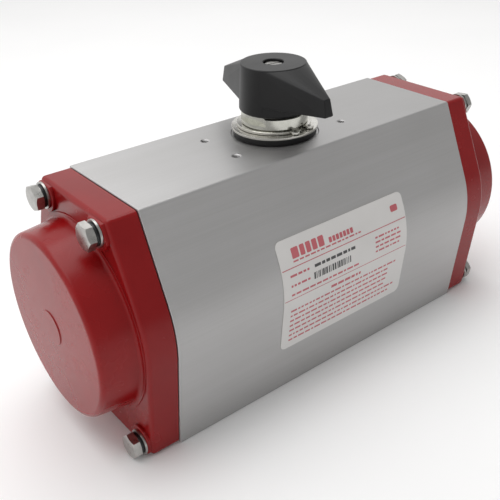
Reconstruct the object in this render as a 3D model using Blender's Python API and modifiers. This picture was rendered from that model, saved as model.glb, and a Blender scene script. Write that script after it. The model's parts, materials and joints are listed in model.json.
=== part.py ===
"""Double-acting rack and pinion rotary pneumatic actuator, a quarter-turn drive for valves.

Frame: metres, +Z up along the pinion, +X along the bore, -Y towards the name plate.
The origin is on the pinion's axis, in the plane of the body's bottom face.
Rest is the closed position: both pistons are in, and the indicator's wings point along Y.
"""
import bmesh
import bpy
from math import acos, atan2, cos, hypot, pi, radians, sin, tan
from mathutils import Matrix, Vector

MM = 0.001
GAP = 0.3 * MM                    # clearance kept between neighbouring pieces

# Body: an extrusion along X with a round bore
BODY_LENGTH = 230.0 * MM
BODY_HEIGHT = 139.0 * MM
AXIS_Z = 69.5 * MM                # height of the bore's axis
TOP_HALF_WIDTH = 36.0 * MM
BOTTOM_HALF_WIDTH = 52.0 * MM
SIDE_RADIUS = 60.4 * MM           # side walls bulge round the bore
BORE_RADIUS = 50.0 * MM
BORE_SEGMENTS = 44

# Top face: accessory bolt pattern and pinion outlet
TOP_HOLE_SPACING_X = 80.0 * MM
TOP_HOLE_SPACING_Y = 30.0 * MM
TOP_HOLE_RADIUS = 2.5 * MM
TOP_HOLE_DEPTH = 10.0 * MM
TOP_RECESS_RADIUS = 25.8 * MM     # shallow seat for the thrust washer
TOP_RECESS_DEPTH = 0.5 * MM
TOP_BEARING_HOUSING_RADIUS = 22.3 * MM
TOP_BEARING_HOUSING_Z = 130.0 * MM

# Bottom face: two square bolt patterns for valve flanges
VALVE_PATTERNS = ((70.0 * MM, 3.4 * MM, 12.0 * MM),     # circle diameter, hole radius, depth
                  (102.0 * MM, 4.2 * MM, 16.0 * MM))
BOTTOM_BEARING_HOUSING_RADIUS = 28.8 * MM
BOTTOM_BEARING_HOUSING_Z = 7.7 * MM

# Rear face: air valve pad
PAD_Y = 58.4 * MM
PAD_HALF_LENGTH = 27.0 * MM
PAD_HALF_HEIGHT = 18.0 * MM
PORT_SPACING = 24.0 * MM
PORT_RADIUS = 5.7 * MM
PORT_FLOOR_Y = 52.4 * MM          # bottom of the blind port
PAD_HOLE_SPACING_X = 32.0 * MM
PAD_HOLE_SPACING_Z = 24.0 * MM
PAD_HOLE_RADIUS = 2.1 * MM
AIR_CHANNEL_RADIUS = 1.7 * MM
AIR_CHANNEL_Y = 54.6 * MM
AIR_CHANNEL_RISE = 7.8 * MM       # above the bore's axis
AIR_OUTLET_X = 106.5 * MM

# End caps
CAP_FLANGE_THICKNESS = 17.3 * MM
CAP_INSET = 0.7 * MM              # the flange's outline lies this far inside the body's
CAP_CORNER_RADIUS = 3.0 * MM
CAP_EDGE_ROUND = 2.5 * MM
BOSS_HEIGHT = 1.8 * MM            # raised seats for the bolts, at the flange's corners
BOSS_RADIUS = 9.5 * MM
BOSS_INSET = 1.5 * MM             # the seats stay this far inside the flange's outline
STEP_RADIUS = 57.2 * MM
STEP_HEIGHT = 0.6 * MM
DOME_HEIGHT = 22.0 * MM           # from the flange's face to the dome's flat end
DOME_RADIUS = 52.4 * MM
DOME_FOOT_RADIUS = 54.0 * MM
DOME_FOOT_FILLET = 2.0 * MM
DOME_EDGE_ROUND = 3.0 * MM
DOME_MARK_RADIUS = 10.2 * MM      # a raised disc in the middle of the dome's end
DOME_MARK_HEIGHT = 0.5 * MM
CAP_CAVITY_RADIUS = 46.0 * MM
CAP_CAVITY_END = 4.5 * MM         # wall left at the dome's end
SPIGOT_RADIUS = 49.7 * MM
SPIGOT_LENGTH = 5.5 * MM
CAP_SEGMENTS = 32

# Cap fasteners, M8
BOLT_PLACES = ((28.3 * MM, 130.3 * MM), (43.7 * MM, 8.0 * MM))    # Y and Z of the upper and lower bolts
BOLT_RADIUS = 4.0 * MM
BOLT_LENGTH = 35.0 * MM           # under the head
BOLT_HEAD_ACROSS_FLATS = 13.0 * MM
BOLT_HEAD_HEIGHT = 4.8 * MM
WASHER_RADIUS = 7.4 * MM
WASHER_HOLE_RADIUS = 4.3 * MM
FLAT_WASHER_THICKNESS = 1.1 * MM
SPRING_WASHER_RADIUS = 6.3 * MM
SPRING_WASHER_THICKNESS = 0.9 * MM
SPRING_WASHER_SLOT = 1.2 * MM

# Gearing
MODULE = 2.5 * MM
TOOTH_COUNT = 18
PITCH_RADIUS = MODULE * TOOTH_COUNT / 2
PRESSURE_ANGLE = radians(20.0)
ADDENDUM = 2.3 * MM
DEDENDUM = 3.1 * MM
TOOTH_THINNING = 0.33 * MM        # taken off each tooth for backlash
GEAR_HALF_HEIGHT = 15.0 * MM
RACK_HALF_HEIGHT = 14.0 * MM
RACK_TEETH = range(-5, 4)         # tooth numbers counted from the pinion's axis

# Pinion
PINION_TOP_Z = 152.9 * MM
PINION_BOTTOM_Z = 0.6 * MM
TOP_JOURNAL_RADIUS = 19.5 * MM
BOTTOM_JOURNAL_RADIUS = 26.0 * MM
BOTTOM_JOURNAL_TOP_Z = 22.0 * MM
GEAR_CORE_RADIUS = 18.0 * MM
SHAFT_FLAT_X = 15.9 * MM          # half the width across the flats at the top
SHAFT_FLAT_Z = 148.3 * MM
CIRCLIP_GROOVE = (143.9 * MM, 146.1 * MM, 18.2 * MM)              # bottom Z, top Z, radius
TOP_SEAL_GROOVE = (132.5 * MM, 136.0 * MM, 17.2 * MM)
BOTTOM_SEAL_GROOVE = (2.5 * MM, 6.5 * MM, 23.7 * MM)
TOP_BEARING_Z = (120.5 * MM, 129.7 * MM)
BOTTOM_BEARING_Z = (8.0 * MM, 18.0 * MM)
KEY_WIDTH = 14.0 * MM
KEY_TOP_Z = 158.0 * MM
DRIVE_SQUARE = 22.0 * MM
DRIVE_DEPTH = 26.0 * MM
SHAFT_SEGMENTS = 24

# Stack on the top face, from the body up
THRUST_WASHER = (138.8 * MM, 142.3 * MM, 20.0 * MM, 24.7 * MM)    # bottom Z, top Z, inner and outer radius
PINION_WASHER = (142.6 * MM, 143.9 * MM, 20.0 * MM, 25.5 * MM)
CIRCLIP = (144.2 * MM, 145.8 * MM, 18.5 * MM, 22.3 * MM)
CIRCLIP_GAP_ANGLE = radians(-82.0)
CIRCLIP_LUG_SPREAD = radians(16.0)
CIRCLIP_LUG_RADIUS = 2.5 * MM
CIRCLIP_LUG_PLACE = 22.3 * MM
CIRCLIP_LUG_HOLE = 1.1 * MM

# Indicator
KNOB_BOTTOM_Z = 153.3 * MM
KNOB_WING_BOTTOM_Z = 159.3 * MM
KNOB_TOP_Z = 180.5 * MM
KNOB_BOTTOM_RADIUS = 20.6 * MM
KNOB_TOP_RADIUS = 19.2 * MM
KNOB_TIP_TOP = (2.6 * MM, 45.0 * MM, 169.3 * MM)                  # half width, Y, Z
KNOB_TIP_BOTTOM = (3.2 * MM, 46.6 * MM, KNOB_WING_BOTTOM_Z)
KNOB_SHOULDER = (7.0 * MM, 28.0 * MM, 175.9 * MM)                 # the wing's top bows up here
KNOB_SKIN = 0.15 * MM             # the wings' discs lie this far under the boss's surface
KNOB_RECESS_RADIUS = 6.0 * MM
KNOB_RECESS_Z = 176.5 * MM
SCREW_HEAD_RADIUS = 5.2 * MM
SCREW_HEAD_TOP_Z = 179.3 * MM
SCREW_SHANK_RADIUS = 3.0 * MM
SCREW_END_Z = 144.0 * MM

# Pistons, described for the right-hand one
PISTON_RADIUS = 49.5 * MM
PISTON_INNER_X = 47.0 * MM
PISTON_OUTER_X = 67.0 * MM
PISTON_RECESS_RADIUS = 38.0 * MM
PISTON_RECESS_DEPTH = 8.0 * MM
WEAR_RING = (50.3 * MM, 54.2 * MM, 47.8 * MM)                     # start X, end X, inner radius
PISTON_SEAL = (58.3 * MM, 61.7 * MM, 46.3 * MM)
RING_OUTER_RADIUS = 49.7 * MM
ARM_TIP_X = -46.0 * MM
ARM_BACK_Y = 44.0 * MM
GUIDE_X = (-43.0 * MM, -13.0 * MM)
GUIDE_HALF_HEIGHT = 11.0 * MM
GUIDE_PEG_RADIUS = 3.0 * MM
GUIDE_PEG_LENGTH = 4.0 * MM

# Travel stops: a cam on the pinion between two set screws, M8
CAM_Z = (92.0 * MM, 103.0 * MM)
CAM_HUB_RADIUS = 24.0 * MM
CAM_LOBE_RADIUS = 35.0 * MM
CAM_STOP_Y = 12.0 * MM            # the flanks meet the screws in this plane
CAM_FLAT_X = 17.0 * MM
STOP_X = 29.0 * MM
STOP_Z = 97.0 * MM
STOP_END_Y = 61.2 * MM
STOP_POCKET_RADIUS = 9.0 * MM
STOP_POCKET_Y = 50.6 * MM
STOP_SEAL_THICKNESS = 1.2 * MM
STOP_NUT_THICKNESS = 6.0 * MM
STOP_HEX_SOCKET = 4.0 * MM

# Name plate, wrapped round the front wall
PLATE_X = (-45.5 * MM, 54.5 * MM)
PLATE_Z = (31.0 * MM, 101.0 * MM)
PLATE_THICKNESS = 0.5 * MM
PLATE_CORNER_RADIUS = 4.0 * MM

MERGE_DISTANCE = 0.00001
# Turns an outline drawn in X and Y, and extruded along Z, to lie in Y and Z along X
ALONG_X = Matrix(((0, 0, 1, 0), (1, 0, 0, 0), (0, 1, 0, 0), (0, 0, 0, 1)))
# The same, to lie in X and Z, extruded along Y
ALONG_Y = Matrix(((1, 0, 0, 0), (0, 0, -1, 0), (0, 1, 0, 0), (0, 0, 0, 1)))
BORE_AXIS = Matrix.Translation((0.0, 0.0, AXIS_Z))
SIDES = (("left", -1), ("right", 1))


# ---------------------------------------------------------------- collections and materials

def clear_scene():
    for obj in list(bpy.data.objects):
        bpy.data.objects.remove(obj, do_unlink=True)


def make_collection(name):
    collection = bpy.data.collections.new(name)
    bpy.context.scene.collection.children.link(collection)
    return collection


def make_material(name, colour, roughness, metallic):
    material = bpy.data.materials.new(name)
    material.use_nodes = True
    shader = material.node_tree.nodes["Principled BSDF"]
    shader.inputs["Base Color"].default_value = (*colour, 1.0)
    shader.inputs["Roughness"].default_value = roughness
    shader.inputs["Metallic"].default_value = metallic
    return material


clear_scene()
PARTS = make_collection("rotary_pneumatic_actuator")
CUTTERS = make_collection("cutters")

ALUMINIUM = make_material("anodised_aluminium", (0.42, 0.41, 0.40), 0.38, 0.85)
RED_PAINT = make_material("red_paint", (0.30, 0.012, 0.014), 0.22, 0.0)
ZINC = make_material("zinc_plated_steel", (0.62, 0.62, 0.60), 0.25, 1.0)
DARK_STEEL = make_material("dark_steel", (0.05, 0.05, 0.052), 0.42, 1.0)
NICKEL = make_material("nickel_plated_steel", (0.55, 0.55, 0.50), 0.20, 1.0)
STAINLESS = make_material("stainless_steel", (0.58, 0.57, 0.54), 0.22, 1.0)
CAST_ALUMINIUM = make_material("piston_aluminium", (0.50, 0.50, 0.50), 0.45, 0.9)
BLACK_PLASTIC = make_material("black_plastic", (0.012, 0.012, 0.013), 0.42, 0.0)
BEARING_PLASTIC = make_material("bearing_plastic", (0.72, 0.70, 0.62), 0.5, 0.0)
RUBBER = make_material("black_rubber", (0.02, 0.02, 0.02), 0.75, 0.0)
PLATE_FILM = make_material("plate_film", (0.45, 0.43, 0.42), 0.4, 0.0)


# ---------------------------------------------------------------- shapes

def add_object(name, mesh, collection=None, material=None):
    obj = bpy.data.objects.new(name, mesh)
    (collection or PARTS).objects.link(obj)
    if material is not None:
        mesh.materials.append(material)
    return obj


def mesh_from(bm, name):
    mesh = bpy.data.meshes.new(name)
    bm.to_mesh(mesh)
    bm.free()
    return mesh


def finish(obj, sharp_degrees=35.0):
    """Shade a round piece smooth, apart from its real edges."""
    obj.data.shade_smooth()
    obj.data.set_sharp_from_angle(angle=radians(sharp_degrees))
    return obj


def add_cylinder(bm, radius, start, end, segments=16, end_radius=None):
    """A cylinder or a cone between two points, added to bm."""
    start, end = Vector(start), Vector(end)
    turn = (end - start).to_track_quat("Z", "Y").to_matrix().to_4x4()
    place = Matrix.Translation((start + end) / 2) @ turn
    bmesh.ops.create_cone(bm, cap_ends=True, segments=segments, radius1=radius,
                          radius2=radius if end_radius is None else end_radius,
                          depth=(end - start).length, matrix=place)


def add_box(bm, low, high):
    low, high = Vector(low), Vector(high)
    place = Matrix.Translation((low + high) / 2) @ Matrix.Diagonal((*(high - low), 1.0))
    bmesh.ops.create_cube(bm, size=1.0, matrix=place)


def prism(name, outlines, start, end, placement=None, collection=None, material=None):
    """A flat outline, which may have holes, extruded from start to end along its normal."""
    curve = bpy.data.curves.new(name, "CURVE")
    curve.dimensions = "2D"
    curve.fill_mode = "BOTH"
    curve.extrude = (end - start) / 2
    for outline in outlines:
        spline = curve.splines.new("POLY")
        spline.points.add(len(outline) - 1)
        spline.use_cyclic_u = True
        for point, (x, y) in zip(spline.points, outline):
            point.co = (x, y, 0.0, 1.0)
    guide = bpy.data.objects.new(name + "_outline", curve)
    CUTTERS.objects.link(guide)
    evaluated = guide.evaluated_get(bpy.context.evaluated_depsgraph_get())
    mesh = bpy.data.meshes.new_from_object(evaluated)
    mesh.name = name
    bpy.data.objects.remove(guide, do_unlink=True)
    bm = bmesh.new()
    bm.from_mesh(mesh)
    bmesh.ops.remove_doubles(bm, verts=bm.verts, dist=MERGE_DISTANCE)
    shift = Matrix.Translation((0.0, 0.0, (start + end) / 2))
    bmesh.ops.transform(bm, verts=bm.verts, matrix=(placement or Matrix()) @ shift)
    bmesh.ops.recalc_face_normals(bm, faces=bm.faces)
    bm.to_mesh(mesh)
    bm.free()
    return add_object(name, mesh, collection, material)


def turned(name, profile, segments, placement=None, closed=False, collection=None, material=None):
    """A profile of (radius, height) points, listed down its outer side, turned round Z."""
    mesh = bpy.data.meshes.new(name)
    points = [(radius, 0.0, height) for radius, height in profile]
    edges = [(i, i + 1) for i in range(len(points) - 1)]
    if closed:
        edges.append((len(points) - 1, 0))
    mesh.from_pydata(points, edges, [])
    obj = add_object(name, mesh, collection, material)
    screw = obj.modifiers.new("turn", "SCREW")
    screw.axis = "Z"
    screw.angle = 2 * pi
    screw.steps = segments
    screw.render_steps = segments
    screw.use_merge_vertices = True
    screw.merge_threshold = MERGE_DISTANCE
    evaluated = obj.evaluated_get(bpy.context.evaluated_depsgraph_get())
    solid = bpy.data.meshes.new_from_object(evaluated)
    solid.name = name
    if placement is not None:
        solid.transform(placement)
    obj.modifiers.clear()
    obj.data = solid
    bpy.data.meshes.remove(mesh)
    return obj


def ring(name, bottom, top, inner, outer, segments, placement=None, material=None):
    profile = ((outer, top), (outer, bottom), (inner, bottom), (inner, top))
    return turned(name, profile, segments, placement, True, None, material)


def combine(obj, other, operation):
    modifier = obj.modifiers.new(other.name, "BOOLEAN")
    modifier.operation = operation
    modifier.solver = "EXACT"
    modifier.object = other
    other.hide_render = True
    other.display_type = "WIRE"
    if other.name not in CUTTERS.objects:
        PARTS.objects.unlink(other)
        CUTTERS.objects.link(other)


def cut(obj, bm, name):
    """Cut everything in bm out of obj."""
    combine(obj, add_object(f"{obj.name}_{name}", mesh_from(bm, name), CUTTERS), "DIFFERENCE")


def arc(centre, radius, start, end, steps):
    """Points along an arc, with angles in radians."""
    angles = [start + (end - start) * i / steps for i in range(steps + 1)]
    return [(centre[0] + radius * cos(a), centre[1] + radius * sin(a)) for a in angles]


def cylinder_matrix(side):
    """Turns Z to run along the bore, out of the left (-1) or the right (+1) end."""
    return BORE_AXIS @ Matrix.Rotation(side * pi / 2, 4, "Y")


# ---------------------------------------------------------------- body

def tangent_angle(point, radius, branch):
    """Angle at which a line from point touches the circle round the bore."""
    distance = hypot(*point)
    return atan2(point[1], point[0]) + branch * acos(radius / distance)


def body_half_outline(inset, steps):
    """The body's right half in Y and Z, bottom to top, measured from the bore's axis."""
    radius = SIDE_RADIUS - inset
    bottom = (BOTTOM_HALF_WIDTH - inset, -AXIS_Z + inset)
    top = (TOP_HALF_WIDTH - inset, BODY_HEIGHT - AXIS_Z - inset)
    side = arc((0.0, 0.0), radius, tangent_angle(bottom, radius, 1),
               tangent_angle(top, radius, -1), steps)
    return bottom, side, top


def rounded(corner, before, after, radius, steps):
    """A corner's rounding: an arc that touches the lines to the points before and after."""
    corner, before, after = Vector(corner), Vector(before), Vector(after)
    inward, onward = (before - corner).normalized(), (after - corner).normalized()
    half = inward.angle(onward) / 2
    centre = corner + (inward + onward).normalized() * radius / sin(half)
    first = corner + inward * radius / tan(half) - centre
    last = corner + onward * radius / tan(half) - centre
    turn = first.angle_signed(last)
    points = []
    for i in range(steps + 1):
        spoke = first.copy()
        spoke.rotate(Matrix.Rotation(-turn * i / steps, 2))
        points.append(tuple(centre + spoke))
    return points


def body_outline(inset=0.0, corner_radius=0.0, steps=8, corner_steps=2):
    bottom, side, top = body_half_outline(inset, steps)
    half = [bottom, *side, top]
    if corner_radius > 0.0:
        low = rounded(bottom, (-bottom[0], bottom[1]), side[0], corner_radius, corner_steps)
        high = rounded(top, side[-1], (-top[0], top[1]), corner_radius, corner_steps)
        half = [*low, *side, *high]
    mirrored = [(-y, z) for y, z in reversed(half)]
    return half + mirrored


def top_holes():
    bm = bmesh.new()
    for x in (-TOP_HOLE_SPACING_X / 2, TOP_HOLE_SPACING_X / 2):
        for y in (-TOP_HOLE_SPACING_Y / 2, TOP_HOLE_SPACING_Y / 2):
            add_cylinder(bm, TOP_HOLE_RADIUS, (x, y, BODY_HEIGHT - TOP_HOLE_DEPTH), (x, y, BODY_HEIGHT + MM), 10)
    return bm


def valve_flange_holes():
    bm = bmesh.new()
    for circle, radius, depth in VALVE_PATTERNS:
        place = circle / 2 * cos(pi / 4)
        for x in (-place, place):
            for y in (-place, place):
                add_cylinder(bm, radius, (x, y, -MM), (x, y, depth), 10)
    return bm


def cap_bolt_holes():
    bm = bmesh.new()
    half = BODY_LENGTH / 2
    for _, side in SIDES:
        for y, z in BOLT_PLACES:
            for sign in (-1, 1):
                add_cylinder(bm, WASHER_HOLE_RADIUS, (side * (half - 20 * MM), sign * y, z),
                             (side * (half + MM), sign * y, z), 10)
    return bm


def pinion_holes():
    seal_radius = TOP_JOURNAL_RADIUS + GAP
    journal_radius = BOTTOM_JOURNAL_RADIUS + GAP
    seat_z = BODY_HEIGHT - TOP_RECESS_DEPTH
    profile = ((0.0, BODY_HEIGHT + MM), (TOP_RECESS_RADIUS, BODY_HEIGHT + MM), (TOP_RECESS_RADIUS, seat_z),
               (seal_radius, seat_z), (seal_radius, TOP_BEARING_HOUSING_Z),
               (TOP_BEARING_HOUSING_RADIUS, TOP_BEARING_HOUSING_Z),
               (TOP_BEARING_HOUSING_RADIUS, AXIS_Z), (BOTTOM_BEARING_HOUSING_RADIUS, AXIS_Z),
               (BOTTOM_BEARING_HOUSING_RADIUS, BOTTOM_BEARING_HOUSING_Z),
               (journal_radius, BOTTOM_BEARING_HOUSING_Z), (journal_radius, -MM), (0.0, -MM))
    return turned("body_pinion_holes", profile, SHAFT_SEGMENTS, collection=CUTTERS)


def pad_cuts():
    """The milled pad, and the round pockets for the stop screws' nuts."""
    bm = bmesh.new()
    add_box(bm, (-PAD_HALF_LENGTH, PAD_Y, AXIS_Z - PAD_HALF_HEIGHT),
            (PAD_HALF_LENGTH, PAD_Y + 9 * MM, AXIS_Z + PAD_HALF_HEIGHT))
    for sign in (-1, 1):
        add_cylinder(bm, STOP_POCKET_RADIUS, (sign * STOP_X, STOP_POCKET_Y, STOP_Z),
                     (sign * STOP_X, STOP_POCKET_Y + 20 * MM, STOP_Z), 16)
    return bm


def port_cuts():
    """The two air ports: one opens between the pistons, the other feeds the end chambers."""
    bm = bmesh.new()
    x = PORT_SPACING / 2
    add_cylinder(bm, PORT_RADIUS, (-x, BORE_RADIUS - 4 * MM, AXIS_Z), (-x, PAD_Y + MM, AXIS_Z), 16)
    add_cylinder(bm, PORT_RADIUS, (x, PORT_FLOOR_Y, AXIS_Z), (x, PAD_Y + MM, AXIS_Z), 16)
    for hole_x in (-PAD_HOLE_SPACING_X / 2, PAD_HOLE_SPACING_X / 2):
        for rise in (-PAD_HOLE_SPACING_Z / 2, PAD_HOLE_SPACING_Z / 2):
            add_cylinder(bm, PAD_HOLE_RADIUS, (hole_x, PAD_Y - 6.2 * MM, AXIS_Z + rise),
                         (hole_x, PAD_Y + MM, AXIS_Z + rise), 10)
    for sign in (-1, 1):
        add_cylinder(bm, BOLT_RADIUS + GAP, (sign * STOP_X, 36 * MM, STOP_Z), (sign * STOP_X, 54 * MM, STOP_Z), 16)
    return bm


def air_channel():
    bm = bmesh.new()
    half = BODY_LENGTH / 2 + MM
    z = AXIS_Z + AIR_CHANNEL_RISE
    add_cylinder(bm, AIR_CHANNEL_RADIUS, (-half, AIR_CHANNEL_Y, z), (half, AIR_CHANNEL_Y, z), 10)
    return bm


def air_cross_drillings():
    bm = bmesh.new()
    z = AXIS_Z + AIR_CHANNEL_RISE
    x = PORT_SPACING / 2
    add_cylinder(bm, AIR_CHANNEL_RADIUS * 0.8, (x, AIR_CHANNEL_Y + 0.2 * MM, AXIS_Z + 3 * MM),
                 (x, AIR_CHANNEL_Y + 0.2 * MM, z), 10)
    for sign in (-1, 1):
        add_cylinder(bm, AIR_CHANNEL_RADIUS * 0.8, (sign * AIR_OUTLET_X, BORE_RADIUS - 3 * MM, z),
                     (sign * AIR_OUTLET_X, AIR_CHANNEL_Y, z), 10)
    return bm


def make_body():
    half = BODY_LENGTH / 2
    body = prism("body", [body_outline()], -half, half, BORE_AXIS @ ALONG_X, material=ALUMINIUM)
    bore = bmesh.new()
    add_cylinder(bore, BORE_RADIUS, (-half - MM, 0, AXIS_Z), (half + MM, 0, AXIS_Z), BORE_SEGMENTS)
    cut(body, bore, "bore")
    combine(body, pinion_holes(), "DIFFERENCE")
    cut(body, top_holes(), "top_holes")
    cut(body, valve_flange_holes(), "valve_flange_holes")
    cut(body, cap_bolt_holes(), "cap_bolt_holes")
    cut(body, pad_cuts(), "pad")
    cut(body, port_cuts(), "ports")
    cut(body, air_channel(), "air_channel")
    cut(body, air_cross_drillings(), "air_drillings")
    return body


# ---------------------------------------------------------------- end caps

def cap_outer_profile(face):
    """The dome and its step, from the flat end outwards. face is the flange's outer face."""
    end = face + DOME_HEIGHT
    foot = face + STEP_HEIGHT
    edge = arc((DOME_RADIUS - DOME_EDGE_ROUND, end - DOME_EDGE_ROUND), DOME_EDGE_ROUND, pi / 2, 0.0, 3)
    fillet_centre = (DOME_FOOT_RADIUS + DOME_FOOT_FILLET, foot + DOME_FOOT_FILLET)
    fillet = arc(fillet_centre, DOME_FOOT_FILLET, pi, 1.5 * pi, 2)
    mark_top = end + DOME_MARK_HEIGHT
    return [(0.0, mark_top), (DOME_MARK_RADIUS - DOME_MARK_HEIGHT, mark_top), (DOME_MARK_RADIUS, end),
            *edge, *fillet, (STEP_RADIUS, foot), (STEP_RADIUS, face - 4 * MM), (0.0, face - 4 * MM)]


def cap_cavity_profile(face, joint):
    end = face + DOME_HEIGHT - CAP_CAVITY_END
    start = joint - SPIGOT_LENGTH - MM
    edge = arc((CAP_CAVITY_RADIUS - DOME_EDGE_ROUND, end - DOME_EDGE_ROUND), DOME_EDGE_ROUND, pi / 2, 0.0, 2)
    return [(0.0, end), *edge, (CAP_CAVITY_RADIUS, start), (0.0, start)]


def cap_spigot_profile(joint):
    end = joint - SPIGOT_LENGTH
    groove = SPIGOT_RADIUS - 2.6 * MM
    inner = CAP_CAVITY_RADIUS - 2 * MM
    return [(SPIGOT_RADIUS, joint + 2 * MM), (SPIGOT_RADIUS, joint - 1.2 * MM), (groove, joint - 1.2 * MM),
            (groove, joint - 3.8 * MM), (SPIGOT_RADIUS, joint - 3.8 * MM), (SPIGOT_RADIUS, end),
            (inner, end), (inner, joint + 2 * MM)]


def round_outer_edge(obj, face_x):
    """Round the edges that lie in the flange's outer face."""
    bm = bmesh.new()
    bm.from_mesh(obj.data)
    rim = [e for e in bm.edges if all(abs(abs(v.co.x) - face_x) < MERGE_DISTANCE for v in e.verts)
           and e.calc_face_angle(0.0) > 0.5]
    bmesh.ops.bevel(bm, geom=rim, offset=CAP_EDGE_ROUND, segments=2, profile=0.5, affect="EDGES")
    bm.to_mesh(obj.data)
    bm.free()


def make_bolt_seats(name, side, face):
    """Low seats for the bolts, which follow the flange's outline at its corners."""
    low, high = sorted((side * (face - MM), side * (face + BOSS_HEIGHT)))
    outline = body_outline(CAP_INSET + BOSS_INSET, CAP_CORNER_RADIUS - BOSS_INSET)
    seats = prism(f"bolt_seats_{name}", [outline], low, high, BORE_AXIS @ ALONG_X)
    discs = bmesh.new()
    for y, z in BOLT_PLACES:
        for sign in (-1, 1):
            add_cylinder(discs, BOSS_RADIUS, (side * (face - 3 * MM), sign * y, z),
                         (side * (face + 3 * MM), sign * y, z), 20)
    combine(seats, add_object(f"bolt_seat_discs_{name}", mesh_from(discs, "discs"), CUTTERS), "INTERSECT")
    return seats


def make_cap(name, side):
    joint = BODY_LENGTH / 2 + GAP
    face = joint + CAP_FLANGE_THICKNESS
    outline = body_outline(CAP_INSET, CAP_CORNER_RADIUS)
    low, high = sorted((side * joint, side * face))
    cap = prism(f"end_cap_{name}", [outline], low, high, BORE_AXIS @ ALONG_X, material=RED_PAINT)
    round_outer_edge(cap, face)
    combine(cap, make_bolt_seats(name, side, face), "UNION")
    place = cylinder_matrix(side)
    combine(cap, turned(f"dome_{name}", cap_outer_profile(face), CAP_SEGMENTS, place), "UNION")
    combine(cap, turned(f"spigot_{name}", cap_spigot_profile(joint), CAP_SEGMENTS, place, True), "UNION")
    combine(cap, turned(f"cavity_{name}", cap_cavity_profile(face, joint), CAP_SEGMENTS, place), "DIFFERENCE")
    holes = bmesh.new()
    for y, z in BOLT_PLACES:
        for sign in (-1, 1):
            add_cylinder(holes, WASHER_HOLE_RADIUS, (side * (joint - MM), sign * y, z),
                         (side * (face + 3 * MM), sign * y, z), 10)
    cut(cap, holes, "bolt_holes")
    ring(f"cap_seal_{name}", joint - 3.5 * MM, joint - 1.5 * MM, SPIGOT_RADIUS - 2.3 * MM,
         SPIGOT_RADIUS - 0.1 * MM, CAP_SEGMENTS, place, RUBBER)


def hexagon(across_flats):
    radius = across_flats / 2 / cos(pi / 6)
    return arc((0.0, 0.0), radius, 0.0, 5 * pi / 3, 5)


def make_bolt(name, place, head_start):
    """A hexagon bolt whose shank runs down from the head along -Z."""
    top = head_start + BOLT_HEAD_HEIGHT
    across = BOLT_HEAD_ACROSS_FLATS
    bolt = prism(name, [hexagon(across)], head_start, top, material=ZINC)
    chamfer = ((0.0, top + MM), (across / 2 - 1.1 * MM, top + MM), (across / 2 - 0.2 * MM, top),
               (across / 2 + 1.4 * MM, top - 1.3 * MM), (across / 2 + 1.4 * MM, head_start - MM),
               (0.0, head_start - MM))
    combine(bolt, turned(f"{name}_chamfer", chamfer, 12), "INTERSECT")
    shank_end = head_start - BOLT_LENGTH
    shank = ((0.0, head_start + MM), (BOLT_RADIUS, head_start + MM), (BOLT_RADIUS, shank_end + MM),
             (BOLT_RADIUS - MM, shank_end), (0.0, shank_end))
    combine(bolt, turned(f"{name}_shank", shank, 10), "UNION")
    bolt.matrix_world = place
    for cutter in (f"{name}_chamfer", f"{name}_shank"):
        bpy.data.objects[cutter].matrix_world = place
    return bolt


def make_spring_washer(name, place, bottom):
    """A split lock washer: a ring with a slanted slot, which faces a little to one side."""
    half_slot = SPRING_WASHER_SLOT / 2 / SPRING_WASHER_RADIUS
    outer = arc((0.0, 0.0), SPRING_WASHER_RADIUS, half_slot, 2 * pi - half_slot, 12)
    inner = arc((0.0, 0.0), WASHER_HOLE_RADIUS, 2 * pi - half_slot * 1.5, half_slot * 1.5, 12)
    washer = prism(name, [outer + inner], bottom, bottom + SPRING_WASHER_THICKNESS, material=DARK_STEEL)
    washer.matrix_world = place
    return washer


def make_cap_fasteners(name, side):
    seat = BODY_LENGTH / 2 + GAP + CAP_FLANGE_THICKNESS + BOSS_HEIGHT
    flat_start = seat + GAP
    spring_start = flat_start + FLAT_WASHER_THICKNESS + GAP
    head_start = spring_start + SPRING_WASHER_THICKNESS + GAP
    turn = Matrix.Rotation(side * pi / 2, 4, "Y")
    number = 0
    for y, z in BOLT_PLACES:
        for sign in (-1, 1):
            number += 1
            place = Matrix.Translation((0.0, sign * y, z)) @ turn
            spin = Matrix.Rotation(radians(25.0 * number), 4, "Z")
            make_bolt(f"cap_bolt_{name}_{number}", place @ spin, head_start)
            make_spring_washer(f"spring_washer_{name}_{number}", place @ spin, spring_start)
            flat = ring(f"flat_washer_{name}_{number}", flat_start, flat_start + FLAT_WASHER_THICKNESS,
                        WASHER_HOLE_RADIUS, WASHER_RADIUS, 14, material=ZINC)
            flat.matrix_world = place


# ---------------------------------------------------------------- pinion and its stack

def involute(angle):
    return tan(angle) - angle


def tooth_half_angle(radius):
    """Half the angle that a pinion tooth covers at this radius."""
    base = PITCH_RADIUS * cos(PRESSURE_ANGLE)
    thickness = pi * MODULE / 2 - TOOTH_THINNING
    pressure = acos(min(1.0, base / radius))
    return thickness / (2 * PITCH_RADIUS) + involute(PRESSURE_ANGLE) - involute(pressure)


def gear_outline():
    """Involute teeth, with a tooth space facing each rack at rest."""
    base = PITCH_RADIUS * cos(PRESSURE_ANGLE)
    root = PITCH_RADIUS - DEDENDUM
    tip = PITCH_RADIUS + ADDENDUM
    flank = [root, *(base + (tip - base) * t for t in (0.0, 0.25, 0.6, 1.0))]
    pitch = 2 * pi / TOOTH_COUNT
    points = []
    for i in range(TOOTH_COUNT):
        centre = pi / 2 + pitch / 2 + i * pitch
        rising = [(r, centre - tooth_half_angle(max(r, base))) for r in flank]
        falling = [(r, centre + tooth_half_angle(max(r, base))) for r in reversed(flank)]
        points += [(r * cos(a), r * sin(a)) for r, a in rising + falling]
    return points


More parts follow.
